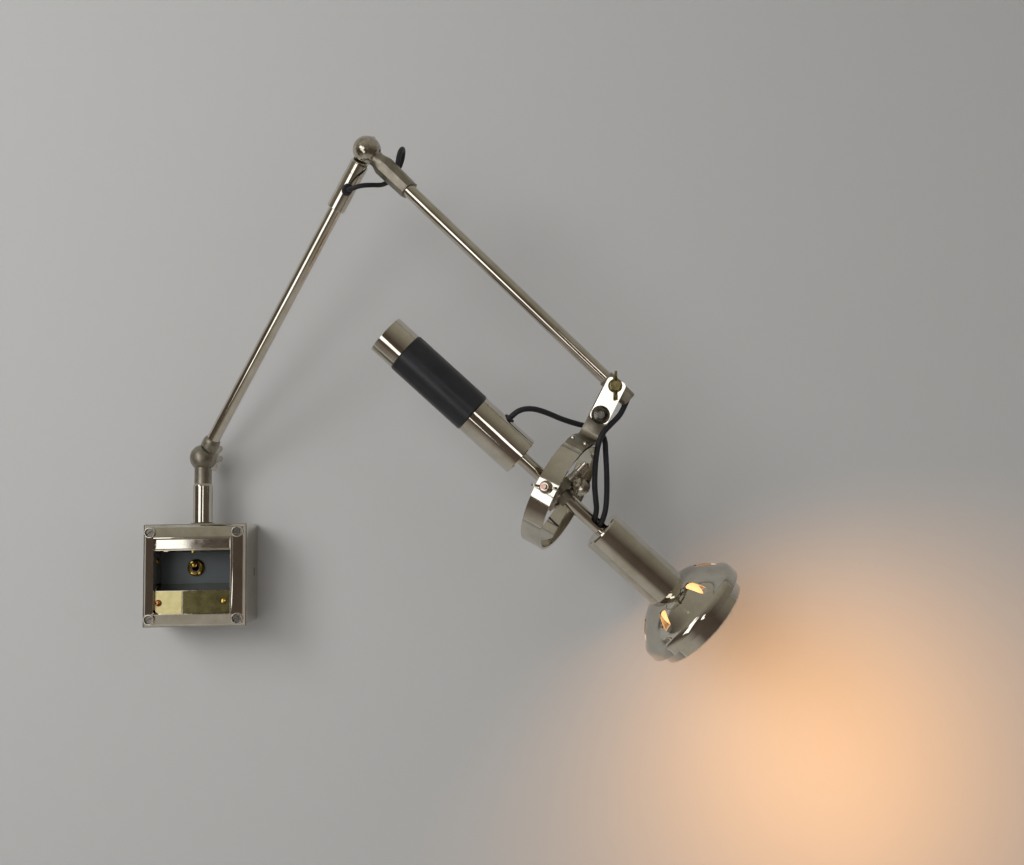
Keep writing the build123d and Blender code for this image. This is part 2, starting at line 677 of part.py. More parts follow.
# ---------------------------------------------------------------- arm 2
with BuildPart() as arm2_socket:
    knuckle_half(arm2_frame, 1, ball_outline([(0, 7.5), (15.5, 7.5)]))
    # cast body: from the round neck to an eight-sided mouth cut on a slant
    with BuildSketch(end_on(arm2_frame, x=14)) as neck:
        Circle(7.5)
    with BuildSketch(end_on(arm2_frame, x=21)) as body:
        RegularPolygon(socket_width / 2, 8, rotation=22.5, major_radius=False)
    loft([neck.sketch, body.sketch])
    with BuildSketch(end_on(arm2_frame, x=21)) as body:
        RegularPolygon(socket_width / 2, 8, rotation=22.5, major_radius=False)
    with BuildSketch(end_on(arm2_frame, x=socket_end)) as mouth:
        RegularPolygon(socket_width / 2 - 0.9, 8, rotation=22.5, major_radius=False)
    loft([body.sketch, mouth.sketch])
    with BuildSketch(flat(arm2_frame, z=-15)) as slant:
        with BuildLine():
            Polyline((socket_end - 7, -12), (socket_end + 2, -12), (socket_end + 2, 12), (socket_end, 12), close=True)
        make_face()
    extrude(slant.sketch, amount=30, mode=Mode.SUBTRACT)
    rod(end_on(arm2_frame, x=22), socket_end, tube_diameter, mode=Mode.SUBTRACT)
    rod(across(arm2_frame, y=-9), 12, clamp_bolt_diameter, mode=Mode.SUBTRACT)
    # hole for the cord in the rear
    cord_pocket(elbow_route[-1], elbow_route[-2], 8, elbow_cord_diameter + 2 * pocket_gap)
save(arm2_socket, "arm2_socket")

plug_start = arm2_length + end_block_reach - end_block_length
plug_flats = 13.2
with BuildPart() as arm2_tube:
    rod(end_on(arm2_frame, x=22), plug_start - 22, tube_diameter, tube_diameter - 2 * tube_wall)
save(arm2_tube, "arm2_tube")

with BuildPart() as arm2_end:
    lathe(front(arm2_end_frame), along(arm2_end_frame),
          [(plug_start - arm2_length - 8, 0), (plug_start - arm2_length - 8, tube_diameter / 2 - tube_wall),
           (plug_start - arm2_length, tube_diameter / 2 - tube_wall), (plug_start - arm2_length, end_block_diameter / 2 - 0.5),
           (plug_start - arm2_length + 0.5, end_block_diameter / 2), (end_block_reach - 1, end_block_diameter / 2),
           (end_block_reach, end_block_diameter / 2 - 1), (end_block_reach, 0)])
    # flats for the bracket plates
    for side in (-1, 1):
        with BuildSketch(flat(arm2_end_frame, z=-end_block_diameter)) as section:
            with Locations((4, side * (plug_flats / 2 + 4))):
                Rectangle(34, 8)
        extrude(section.sketch, amount=2 * end_block_diameter, mode=Mode.SUBTRACT)
    rod(across(arm2_end_frame, y=-10), 20, nut_bore(clamp_bolt_diameter), mode=Mode.SUBTRACT)
    cord_pocket(head_route[0], head_route[1], 16, cord_diameter + 2 * pocket_gap)
save(arm2_end, "arm2_end")

# ---------------------------------------------------------------- bracket
plate_gap = plug_flats + 2 * face_gap
plate_out = plate_gap / 2 + plate_thickness


def plate(frame, side):
    with BuildSketch(across(frame, y=side * plate_gap / 2)) as section:
        with Locations((0, plate_length / 2 - bolt_edge)):
            RectangleRounded(plate_width, plate_length, 4)
        with Locations((0, 0)):
            Circle(clamp_bolt_diameter / 2, mode=Mode.SUBTRACT)
        with Locations((0, bolt_pitch)):
            Circle(clamp_bolt_diameter / 2, mode=Mode.SUBTRACT)
    extrude(section.sketch, amount=side * plate_thickness)


with BuildPart() as bracket_front_plate:
    plate(bracket_frame, -1)
save(bracket_front_plate, "bracket_front_plate")

with BuildPart() as bracket_rear_plate:
    plate(bracket_frame, 1)
save(bracket_rear_plate, "bracket_rear_plate")

front_frame_of_bolt = bracket_frame * turned(z=180)
with BuildPart() as bracket_bolt:
    lathe(flat(front_frame_of_bolt), hinge(front_frame_of_bolt),
          [(0, -plate_out - 3.6), (3.0, -plate_out - 3.4), (5.6, -plate_out - 1.6), (6.0, -plate_out),
           (clamp_bolt_diameter / 2, -plate_out), (clamp_bolt_diameter / 2, plate_out + wing_height + 1),
           (0, plate_out + wing_height + 1)])
save(bracket_bolt, "bracket_bolt")

bracket_nut_frame = front_frame_of_bolt * Location((0, plate_out + face_gap, 0)) * turned(y=-62)
with BuildPart() as bracket_wing_nut:
    wing_nut(bracket_nut_frame, clamp_bolt_diameter)
save(bracket_wing_nut, "bracket_wing_nut")

with BuildPart() as stem_screw:
    # big domed head in front, shank through both plates
    lathe(flat(stem_frame), hinge(stem_frame),
          [(0, -plate_out - 5.0), (1.8, -plate_out - 5.0), (1.8, -plate_out - 5.4), (3.4, -plate_out - 5.4),
           (6.4, -plate_out - 4.2), (8.1, -plate_out - 2.2), (stem_screw_head / 2, -plate_out),
           (clamp_bolt_diameter / 2, -plate_out), (clamp_bolt_diameter / 2, plate_out), (5.0, plate_out),
           (4.6, plate_out + 2.2), (0, plate_out + 2.6)])
save(stem_screw, "stem_screw")

# ---------------------------------------------------------------- ring
with BuildPart() as tongue_spacers:
    for side in (-1, 1):
        rod(across(stem_frame, y=side * stem_thickness / 2), side * (plug_flats - stem_thickness) / 2, 12,
            nut_bore(clamp_bolt_diameter))
save(tongue_spacers, "tongue_spacers")

twist_top = 73.0          # the strap's twist, above the ring's centre
twist_foot = 63.0
saddle_outer = ring_radius + ring_strip / 2 + saddle_thickness
with BuildPart() as ring_stem:
    with BuildSketch(front(stem_frame, y=stem_thickness / 2)) as section:
        Circle(stem_width / 2)
        with Locations((0, -(stem_reach - twist_top) / 2)):
            Rectangle(stem_width, stem_reach - twist_top)
    extrude(section.sketch, amount=stem_thickness)
    steps = 4
    for i in range(steps):
        sections = []
        for k in (i, i + 1):
            share = k / steps
            with BuildSketch(Plane(stem_frame * Location((0, 0, twist_top - stem_reach - share * (twist_top - twist_foot)))
                                   * turned(z=share * stem_twist))) as section:
                Rectangle(stem_width, stem_thickness)
            sections.append(section.sketch)
        loft(sections)
    with BuildSketch(flat(ring_frame, z=twist_foot)) as section:
        Rectangle(stem_width, stem_thickness)
    extrude(section.sketch, amount=saddle_outer - twist_foot - 1.0)
    # foot: saddle on the ring, with a fillet on each side of the strap
    with BuildSketch(Plane(origin=Plane(ring_frame * Location((-stem_width / 2, 0, 0))).origin,
                           x_dir=Plane(ring_frame).y_dir, z_dir=Plane(ring_frame).x_dir)) as foot:
        inner = ring_radius + ring_strip / 2

        def around(radius, angle):
            return radius * math.sin(math.radians(angle)), radius * math.cos(math.radians(angle))

        with BuildLine():
            for side in (-1, 1):
                near_end = around(inner, side * saddle_angle)
                far_end = around(inner + 0.8, side * saddle_angle)
                taper_end = around(saddle_outer, side * (saddle_angle - 4))
                blend = around(saddle_outer, side * 10)
                flank = (side * stem_thickness / 2, saddle_outer + 6)
                Polyline(near_end, far_end, taper_end)
                ThreePointArc(taper_end, around(saddle_outer, side * (saddle_angle / 2 + 3)), blend)
                Spline(blend, flank, tangents=((-side * math.cos(math.radians(10)), math.sin(math.radians(10))), (0, 1)))
            Line((-stem_thickness / 2, saddle_outer + 6), (stem_thickness / 2, saddle_outer + 6))
            ThreePointArc(around(inner, -saddle_angle), (0, inner), around(inner, saddle_angle))
        make_face()
    extrude(foot.sketch, amount=stem_width)
    rod(across(stem_frame, y=-10), 20, nut_bore(clamp_bolt_diameter), mode=Mode.SUBTRACT)
    for angle in (-rivet_angle, rivet_angle):
        for x in (-rivet_pitch / 2, rivet_pitch / 2):
            rod(flat(ring_frame * turned(x=angle) * Location((x, 0, 40))), 30, 3.0, mode=Mode.SUBTRACT)
save(ring_stem, "ring_stem")

with BuildPart() as ring_band:
    rod(end_on(ring_frame, x=-ring_width / 2), ring_width, 2 * ring_radius + ring_strip, 2 * ring_radius - ring_strip)
    for angle in (-90, 90):
        rod(flat(ring_frame * turned(x=angle) * Location((0, 0, 40))), 30, nut_bore(trunnion_bolt_diameter),
            mode=Mode.SUBTRACT)
    for angle in (-rivet_angle, rivet_angle):
        for x in (-rivet_pitch / 2, rivet_pitch / 2):
            rod(flat(ring_frame * turned(x=angle) * Location((x, 0, 40))), 30, 3.0, mode=Mode.SUBTRACT)
save(ring_band, "ring_band")

with BuildPart() as ring_rivets:
    for angle in (-rivet_angle, rivet_angle):
        for x in (-rivet_pitch / 2, rivet_pitch / 2):
            seat = ring_frame * turned(x=angle) * Location((x, 0, ring_radius + ring_strip / 2))
            lathe(front(seat), up_from(seat),
                  [(0, -ring_strip - 1.0), (1.8, -ring_strip - 0.8), (2.4, -ring_strip - 0.1), (1.5, -ring_strip - 0.1),
                   (1.5, saddle_thickness), (2.6, saddle_thickness), (2.0, saddle_thickness + 1.3), (0, saddle_thickness + 1.7)])
save(ring_rivets, "ring_rivets")

# ---------------------------------------------------------------- gimbal
band_inner = ring_radius - ring_strip / 2
band_outer = ring_radius + ring_strip / 2
trunnion_nut_seat = band_outer + 0.3
trunnion_wing_height = 9.5
lock_x = 11.5
lock_z = 18.0
lock_seat = 4.6           # the ear's face under the domed screw

with BuildPart() as gimbal_eye:
    rod(end_on(eye_frame, x=-eye_width / 2), eye_width, 2 * eye_radius)
    # trunnion arms in one turned bar with a collar near the band
    arm_radius = trunnion_arm_diameter / 2
    half_bar = [(arm_radius + 1.2, 0), (arm_radius + 1.2, eye_radius - 0.5), (arm_radius, eye_radius + 2),
                (arm_radius, band_inner - 7), (arm_radius + 1.6, band_inner - 6), (arm_radius + 1.6, band_inner - 2.4),
                (arm_radius + 0.4, band_inner - 0.6)]
    lathe(flat(eye_frame), hinge(eye_frame),
          [(0, band_inner - 0.6 - 2 * (band_inner - 0.6))] + [(r, -y) for r, y in reversed(half_bar[1:])] + half_bar[1:]
          + [(0, band_inner - 0.6)])
    # upper boss with the clamping ear, lower boss plain
    lathe(front(eye_frame), up_from(eye_frame),
          [(0, eye_bore + 1), (5.6, eye_bore + 1), (5.6, eye_radius + 3.4), (5.0, eye_radius + 4), (5.0, eye_radius + 5),
           (5.4, eye_radius + 5.4), (5.4, eye_radius + 6.6), (5.0, eye_radius + 7), (5.0, pin_boss_top - 0.6),
           (4.4, pin_boss_top), (0, pin_boss_top)])
    lathe(front(eye_frame), up_from(eye_frame),
          [(0, -eye_bore - 1), (5.6, -eye_bore - 1), (5.2, -eye_radius - 3), (0, -eye_radius - 3)])
    with BuildSketch(front(eye_frame, y=lock_seat)) as section:
        with Locations((lock_x / 2, lock_z)):
            Rectangle(lock_x, 8.4)
        with Locations((lock_x, lock_z)):
            Circle(4.2)
    extrude(section.sketch, amount=2 * lock_seat)
    # spot face under the domed screw, bores for the clamped tube and the pins, and the slit
    rod(across(eye_frame * Location((lock_x, 0, lock_z)), y=-lock_seat), -12, lock_head_diameter + 2 * seat_gap,
        mode=Mode.SUBTRACT)
    rod(end_on(eye_frame, x=-20), 40, 2 * eye_bore, mode=Mode.SUBTRACT)
    rod(flat(eye_frame, z=-40), 80, nut_bore(swivel_pin_diameter), mode=Mode.SUBTRACT)
    rod(across(eye_frame * Location((lock_x, 0, lock_z)), y=-10), 20, nut_bore(lock_shank_diameter), mode=Mode.SUBTRACT)
    with BuildSketch(flat(eye_frame, z=eye_bore - 3)) as section:
        with Locations((lock_x, 0)):
            Rectangle(2 * lock_x - swivel_pin_diameter, 1.0)
    extrude(section.sketch, amount=23, mode=Mode.SUBTRACT)
    for side in (-1, 1):
        rod(across(eye_frame, y=side * (band_inner - 12)), side * 14, trunnion_bolt_diameter, mode=Mode.SUBTRACT)
save(gimbal_eye, "gimbal_eye")

with BuildPart() as trunnion_bolts:
    for side in (-1, 1):
        rod(across(eye_frame, y=side * (band_inner - 12)),
            side * (trunnion_nut_seat + trunnion_wing_height + 1 - band_inner + 12), trunnion_bolt_diameter)
save(trunnion_bolts, "trunnion_bolts")

near_nut_frame = eye_frame * turned(z=180) * Location((0, trunnion_nut_seat, 0)) * turned(y=35)
with BuildPart() as near_wing_nut:
    wing_nut(near_nut_frame, trunnion_bolt_diameter, 24.0, trunnion_wing_height)
save(near_wing_nut, "near_wing_nut")

far_nut_frame = eye_frame * Location((0, trunnion_nut_seat, 0)) * turned(y=30)
with BuildPart() as far_wing_nut:
    wing_nut(far_nut_frame, trunnion_bolt_diameter, 24.0, trunnion_wing_height)
save(far_wing_nut, "far_wing_nut")

lock_frame = eye_frame * Location((lock_x, 0, lock_z))
with BuildPart() as lock_screw:
    lathe(flat(lock_frame), hinge(lock_frame),
          [(0, -lock_seat - 5.4), (4.0, -lock_seat - 5.0), (7.0, -lock_seat - 3.4), (lock_head_diameter / 2, -lock_seat - 1.2),
           (lock_head_diameter / 2 - 0.2, -lock_seat - 0.3), (4.6, -lock_seat - 0.3), (4.6, -lock_seat - face_gap / 2),
           (lock_shank_diameter / 2, -lock_seat - face_gap / 2), (lock_shank_diameter / 2, lock_seat + 3.0),
           (0, lock_seat + 3.0)])
save(lock_screw, "lock_screw")

with BuildPart() as knurled_nut:
    nut_base = pin_boss_top + face_gap
    with BuildSketch(flat(eye_frame, z=nut_base)) as section:
        Circle(knurled_nut_diameter / 2)
        with PolarLocations(knurled_nut_diameter / 2 + 0.15, 16):
            Circle(0.55, mode=Mode.SUBTRACT)
        Circle(nut_bore(swivel_pin_diameter) / 2, mode=Mode.SUBTRACT)
    extrude(section.sketch, amount=knurled_nut_height)
    lathe(front(eye_frame), up_from(eye_frame),
          [(3.2, nut_base + knurled_nut_height), (4.0, nut_base + knurled_nut_height),
           (3.4, nut_base + knurled_nut_height + 0.8), (nut_bore(swivel_pin_diameter) / 2, nut_base + knurled_nut_height + 0.8),
           (nut_bore(swivel_pin_diameter) / 2, nut_base + knurled_nut_height)])
save(knurled_nut, "knurled_nut")

with BuildPart() as tube_clamp:
    rod(end_on(head_frame, x=-clamp_sleeve_length / 2), clamp_sleeve_length, clamp_sleeve_diameter)
    for side in (-1, 1):
        rod(flat(head_frame), side * (eye_bore - 1.1), 8.0)
    rod(end_on(head_frame, x=-30), 60, tube_diameter, mode=Mode.SUBTRACT)
    for side in (-1, 1):
        rod(flat(head_frame), side * 20, swivel_pin_diameter, mode=Mode.SUBTRACT)
save(tube_clamp, "tube_clamp")

with BuildPart() as swivel_pins:
    rod(flat(head_frame, z=tube_diameter / 2 + 0.2), pin_boss_top + knurled_nut_height + 1.6 - tube_diameter / 2,
        swivel_pin_diameter)
    rod(flat(head_frame, z=-tube_diameter / 2 - 0.2), -(eye_radius + 3.4 - tube_diameter / 2), swivel_pin_diameter)
save(swivel_pins, "swivel_pins")

# ---------------------------------------------------------------- head
holder_start = neck_start + 12
holder_end = 116.0
with BuildPart() as head_tube:
    rod(end_on(head_frame, x=head_end + 12), neck_start + 8 - head_end - 12, tube_diameter, tube_diameter - 2 * tube_wall)
    # slot where the cords go in, up and to the front
    with BuildSketch(Plane(head_frame * turned(x=38) * Location((cord_slot, 0, 0)))) as section:
        SlotOverall(16.4, 9.0)
    extrude(section.sketch, amount=tube_diameter, mode=Mode.SUBTRACT)
save(head_tube, "head_tube")

with BuildPart() as handle_cap:
    radius = handle_diameter / 2
    with BuildSketch(front(head_frame)) as outline:
        with BuildLine():
            Polyline((head_end, tube_diameter / 2 - 4), (head_end, radius - 6.5))
            ThreePointArc((head_end, radius - 6.5), (head_end + 1.9, radius - 1.9), (head_end + 6.5, radius))
            Polyline((head_end + 6.5, radius), (grip_start - 1.0, radius), (grip_start - 0.4, radius - 0.6), (grip_start, radius - 0.6),
                     (grip_start, tube_diameter / 2), (head_end + 12, tube_diameter / 2), (head_end + 12, 0), (head_end, 0),
                     (head_end, tube_diameter / 2 - 4))
        make_face()
    revolve(outline.sketch, axis=along(head_frame))
save(handle_cap, "handle_cap")

with BuildPart() as handle_grip:
    lathe(front(head_frame), along(head_frame),
          [(grip_start, tube_diameter / 2), (grip_start, grip_diameter / 2 - 1.0), (grip_start + 1.0, grip_diameter / 2),
           (body_start - 1.0, grip_diameter / 2), (body_start, grip_diameter / 2 - 1.0), (body_start, tube_diameter / 2)])
save(handle_grip, "handle_grip")

body_wall = 1.6
with BuildPart() as handle_body:
    # turned shell with both ends closed round the tube
    lathe(front(head_frame), along(head_frame),
          [(body_start, tube_diameter / 2), (body_start, radius - 0.5), (body_start + 0.5, radius), (body_end - 0.8, radius),
           (body_end, radius - 0.8), (body_end, tube_diameter / 2), (body_end - 2.5, tube_diameter / 2),
           (body_end - 2.5, radius - body_wall), (body_start + 2.5, radius - body_wall), (body_start + 2.5, tube_diameter / 2)])
    rod(flat(head_frame, x=cord_exit, z=tube_diameter), 20, 9.0, mode=Mode.SUBTRACT)
save(handle_body, "handle_body")

with BuildPart() as handle_grommet:
    lathe(front(head_frame, x=cord_exit), up_from(head_frame * Location((cord_exit, 0, 0))),
          [(cord_diameter / 2 + 0.15, radius - 3.2), (4.5, radius - 3.2), (4.5, radius + 0.1), (5.2, radius + 0.1),
           (4.9, radius + 1.0), (3.6, radius + 1.6), (cord_diameter / 2 + 0.15, radius + 1.6)])
save(handle_grommet, "handle_grommet")

neck_wall = 1.5
neck_radius = neck_diameter / 2
with BuildPart() as neck_housing:
    lathe(front(head_frame), along(head_frame),
          [(neck_start, tube_diameter / 2), (neck_start, neck_radius - 2.2), (neck_start + 0.7, neck_radius - 0.7),
           (neck_start + 2.2, neck_radius), (neck_end, neck_radius), (neck_end, neck_radius - neck_wall),
           (neck_start + 3, neck_radius - neck_wall), (neck_start + 3, tube_diameter / 2)])
save(neck_housing, "neck_housing")

with BuildPart() as lampholder:
    # closed back, threaded well for the bulb's cap and a flange that fits the housing
    lathe(front(head_frame), along(head_frame),
          [(neck_start + 3, tube_diameter / 2), (neck_start + 3, 12.0), (holder_start, 15.4), (holder_end - 8, 15.4),
           (holder_end - 8, neck_radius - neck_wall), (holder_end - 4, neck_radius - neck_wall), (holder_end - 4, 16.2),
           (holder_end, 16.2), (holder_end, 13.6), (holder_end - 24, 13.6), (holder_end - 24, 0), (neck_start + 8, 0),
           (neck_start + 8, tube_diameter / 2)])
save(lampholder, "lampholder")

with BuildPart() as bulb:
    with BuildSketch(front(head_frame)) as outline:
        with BuildLine():
            base = holder_end - 24
            Line((base, 0), (base, 5))
            Line((base, 5), (base + 3, 13.2))
            Line((base + 3, 13.2), (holder_end + 2, 13.2))
            Spline((holder_end + 2, 13.2), (holder_end + 9, 13.6), (holder_end + 20, 15.4), (holder_end + 29, 20.0),
                   (holder_end + 39, 22.5), (holder_end + 51, 17.4), (holder_end + 58, 0), tangents=((1, 0.03), (0, -1)))
            Line((holder_end + 58, 0), (base, 0))
        make_face()
    revolve(outline.sketch, axis=along(head_frame))
save(bulb, "bulb")

shade_radius = shade_diameter / 2
shade_outer = [(neck_end, neck_radius), (neck_end + 2.2, neck_radius + 9.6), (neck_end + 6.3, neck_radius + 16.8),
               (neck_end + 15.4, neck_radius + 26.5), (neck_end + 22, neck_radius + 32.7), (dome_end - 6.5, shade_radius)]


def inset(points, wall):
    moved = []
    for i, (x, r) in enumerate(points):
        before = points[max(i - 1, 0)]
        after = points[min(i + 1, len(points) - 1)]
        run = math.hypot(after[0] - before[0], after[1] - before[1])
        moved.append((x + wall * (after[1] - before[1]) / run, r - wall * (after[0] - before[0]) / run))
    return moved


with BuildPart() as shade:
    for points, mode in ((shade_outer, Mode.ADD), (inset(shade_outer, shade_wall), Mode.SUBTRACT)):
        end = dome_end if mode == Mode.ADD else dome_end - shade_wall
        with BuildSketch(front(head_frame)) as outline:
            with BuildLine():
                Spline(*points, tangents=((0.12, 1), (1, 0.1)))
                Polyline(points[-1], (end, points[-1][1]), (end, 0), (points[0][0], 0), points[0])
            make_face()
        revolve(outline.sketch, axis=along(head_frame), mode=mode)
    rod(end_on(head_frame, x=neck_end - 8), 60, 2 * (neck_radius - neck_wall - 1.2), mode=Mode.SUBTRACT)
    rod(end_on(head_frame, x=neck_end - 8), 9, 2 * (neck_radius - neck_wall), 2 * (neck_radius - neck_wall - 1.2))
    rod(end_on(head_frame, x=dome_end - 5), 10, rim_diameter - 5, mode=Mode.SUBTRACT)
    # six vent slots round the dome
    for i in range(6):
        with BuildSketch(Plane(head_frame * turned(x=60 * i + 117) * Location((neck_end - 1, 0, 0), (0, 90, 0)))) as vent:
            with Locations((-40.2, 0)):
                SlotOverall(17.0, 8.0)
        extrude(vent.sketch, amount=dome_end - neck_end - 6, mode=Mode.SUBTRACT)
save(shade, "shade")

with BuildPart() as shade_rim:
    lathe(front(head_frame), along(head_frame),
          [(dome_end, rim_diameter / 2 - 2.5), (dome_end, rim_diameter / 2 - 0.6), (dome_end + 0.6, rim_diameter / 2),
           (rim_end - 1.2, rim_diameter / 2), (rim_end, rim_diameter / 2 - 1.0), (rim_end, rim_diameter / 2 - 2.0),
           (rim_end - 1.2, rim_diameter / 2 - 2.5)])
save(shade_rim, "shade_rim")

# ---------------------------------------------------------------- cords
with BuildPart() as elbow_cord:
    cord("elbow_cord", elbow_route, elbow_cord_diameter)
save(elbow_cord, "elbow_cord")

with BuildPart() as head_cord:
    cord("head_cord", head_route, cord_diameter)
save(head_cord, "head_cord")

with BuildPart() as handle_cord:
    cord("handle_cord", handle_route, cord_diameter)
save(handle_cord, "handle_cord")
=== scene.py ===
import bpy
import math
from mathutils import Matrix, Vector


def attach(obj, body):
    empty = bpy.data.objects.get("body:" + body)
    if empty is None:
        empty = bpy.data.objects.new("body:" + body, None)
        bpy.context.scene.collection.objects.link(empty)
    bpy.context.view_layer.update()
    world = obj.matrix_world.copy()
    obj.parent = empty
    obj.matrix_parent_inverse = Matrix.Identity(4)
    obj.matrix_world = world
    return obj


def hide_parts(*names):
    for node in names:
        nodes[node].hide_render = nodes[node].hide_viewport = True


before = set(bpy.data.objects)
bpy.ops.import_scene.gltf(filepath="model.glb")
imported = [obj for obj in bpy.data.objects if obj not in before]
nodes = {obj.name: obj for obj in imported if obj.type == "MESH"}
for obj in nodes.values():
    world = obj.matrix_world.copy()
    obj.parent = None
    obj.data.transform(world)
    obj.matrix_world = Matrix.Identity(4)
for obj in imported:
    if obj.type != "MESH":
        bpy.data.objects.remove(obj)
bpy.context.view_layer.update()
scene = bpy.context.scene
print("frame loaded:", len(nodes), "nodes")


# camera: the photograph's lens and standing point, in metres, degrees and millimetres
view = {"place": (0.2709, -1.1564, 0.0446), "turn": (94.7905, 0.8570, -2.1282),
        "lens": 38.67, "sensor": 36.0, "nearest": 0.01, "farthest": 30}
lens = bpy.data.cameras.new("photoCamera")
lens.lens, lens.sensor_width = view["lens"], view["sensor"]
lens.clip_start, lens.clip_end = view["nearest"], view["farthest"]
camera = bpy.data.objects.new("photoCamera", lens)
camera.location = view["place"]
camera.rotation_euler = [math.radians(angle) for angle in view["turn"]]
scene.collection.objects.link(camera)
scene.camera = camera
print("camera set")


# ------------ small helpers
quarterTurn = math.radians(90)
squareOn = 0.9                           # a normal this near a line counts as lying along it
rounding = {"steps": 2, "margin": 4}     # bevel segments, and degrees past the smooth angle


def clearSelection():
    if bpy.context.mode != "OBJECT":
        bpy.ops.object.mode_set(mode="OBJECT")
    bpy.ops.object.select_all(action="DESELECT")


def bakeTransform():                     # moves the place, turn and scale into the mesh
    bpy.ops.object.transform_apply(location=True, rotation=True, scale=True)


def pickFaces(piece, wanted):            # leaves edit mode on, with only those faces selected
    bpy.ops.object.mode_set(mode="EDIT")
    bpy.ops.mesh.select_mode(type="FACE")
    bpy.ops.mesh.select_all(action="DESELECT")
    bpy.ops.object.mode_set(mode="OBJECT")
    for face in piece.data.polygons:
        face.select = wanted(face)
    bpy.ops.object.mode_set(mode="EDIT")


def looksForward(face):
    return face.normal.y < -squareOn


def joinTo(piece, others):               # the others become part of the piece's mesh
    clearSelection()
    for other in others:
        other.select_set(True)
    piece.select_set(True)
    bpy.context.view_layer.objects.active = piece
    bpy.ops.object.join()


def finishPiece(piece, name, material, body, edge, sharp):
    if bpy.context.mode != "OBJECT":
        bpy.ops.object.mode_set(mode="OBJECT")
    bakeTransform()
    piece.name = name
    if edge:
        bevel = piece.modifiers.new("edge", "BEVEL")
        bevel.width, bevel.segments, bevel.limit_method = edge, rounding["steps"], "ANGLE"
        bevel.angle_limit = math.radians(sharp + rounding["margin"])
        bpy.ops.object.modifier_apply(modifier="edge")
    bpy.ops.object.shade_smooth_by_angle(angle=math.radians(sharp))
    flat = piece.modifiers.new("flat", "WEIGHTED_NORMAL")    # keeps large flat faces true mirrors
    flat.keep_sharp = True
    bpy.ops.object.modifier_apply(modifier="flat")
    piece.data.materials.clear()
    piece.data.materials.append(material)
    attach(piece, body)
    return piece


def toLinear(hexCode):
    parts = [int(hexCode[i:i + 2], 16) / 255 for i in (1, 3, 5)]
    linear = [c / 12.92 if c <= 0.04045 else ((c + 0.055) / 1.055) ** 2.4 for c in parts]
    return (*linear, 1.0)


def perMm(size):             # pattern scale for Object coordinates, which are in metres
    return 1000.0 / size


def addNode(tree, kind, sockets=None, links=None, **settings):
    node = tree.nodes.new(kind)
    for key, value in settings.items():
        setattr(node, key, value)
    for key, value in (sockets or {}).items():
        node.inputs[key].default_value = value
    for key, (source, output) in (links or {}).items():
        tree.links.new(source.outputs[output], node.inputs[key])
    return node


def newMaterial(name):
    material = bpy.data.materials.new(name)
    material.use_nodes = True
    tree = material.node_tree
    tree.nodes.clear()
    shader = addNode(tree, "ShaderNodeBsdfPrincipled")
    output = addNode(tree, "ShaderNodeOutputMaterial", links={"Surface": (shader, "BSDF")})
    return material, tree, shader, output


def objectPlace(tree):       # the link that lays a pattern on the object itself
    return {"Vector": (addNode(tree, "ShaderNodeTexCoord"), "Object")}


black, white = (0, 0, 0, 1), (1, 1, 1, 1)


def ramp(tree, source, output, turn, colours=(black, white)):
    node = addNode(tree, "ShaderNodeValToRGB", links={"Fac": (source, output)})
    for element, place, colour in zip(node.color_ramp.elements, turn, colours):
        element.position, element.color = place, colour
    return node


def glossOf(tree, fine, turn, smooth, worn):      # roughness that follows a fine noise
    return addNode(tree, "ShaderNodeMapRange",
                   {"From Min": turn[0], "From Max": turn[1], "To Min": smooth, "To Max": worn},
                   {"Value": (fine, "Fac")})


def grainOf(tree, shader, fine, strength, relief):
    bump = addNode(tree, "ShaderNodeBump", {"Strength": strength, "Distance": relief},
                   {"Height": (fine, "Fac")})
    tree.links.new(bump.outputs["Normal"], shader.inputs["Normal"])


def paint(material, *names):
    for name in names:
        mesh = nodes[name].data
        mesh.materials.clear()
        mesh.materials.append(material)
        mesh.polygons.foreach_set("material_index", [0] * len(mesh.polygons))


def paintPart(material, name, wanted):       # a second finish on the faces that are wanted
    mesh = nodes[name].data
    mesh.materials.append(material)
    last = len(mesh.materials) - 1
    for face in mesh.polygons:
        if wanted(face):
            face.material_index = last


# ------------ materials: pattern sizes are in mm, reliefs in metres, and a turn says
# between which heights a noise goes from its first tone or gloss to its second
mixFirst, mixSecond, mixResult = 6, 7, 2     # the colour sockets of a mix node
plateWear = {"hazeTurn": (0.35, 0.68), "pitTurn": (0.05, 0.16), "patchTurn": (0.52, 0.66),
             "glossTurn": (0.3, 0.75), "patchShare": 0.45, "fineShare": 0.2,
             "pitColour": "#6E665A", "pitRoughness": 0.35, "relief": 0.00008}


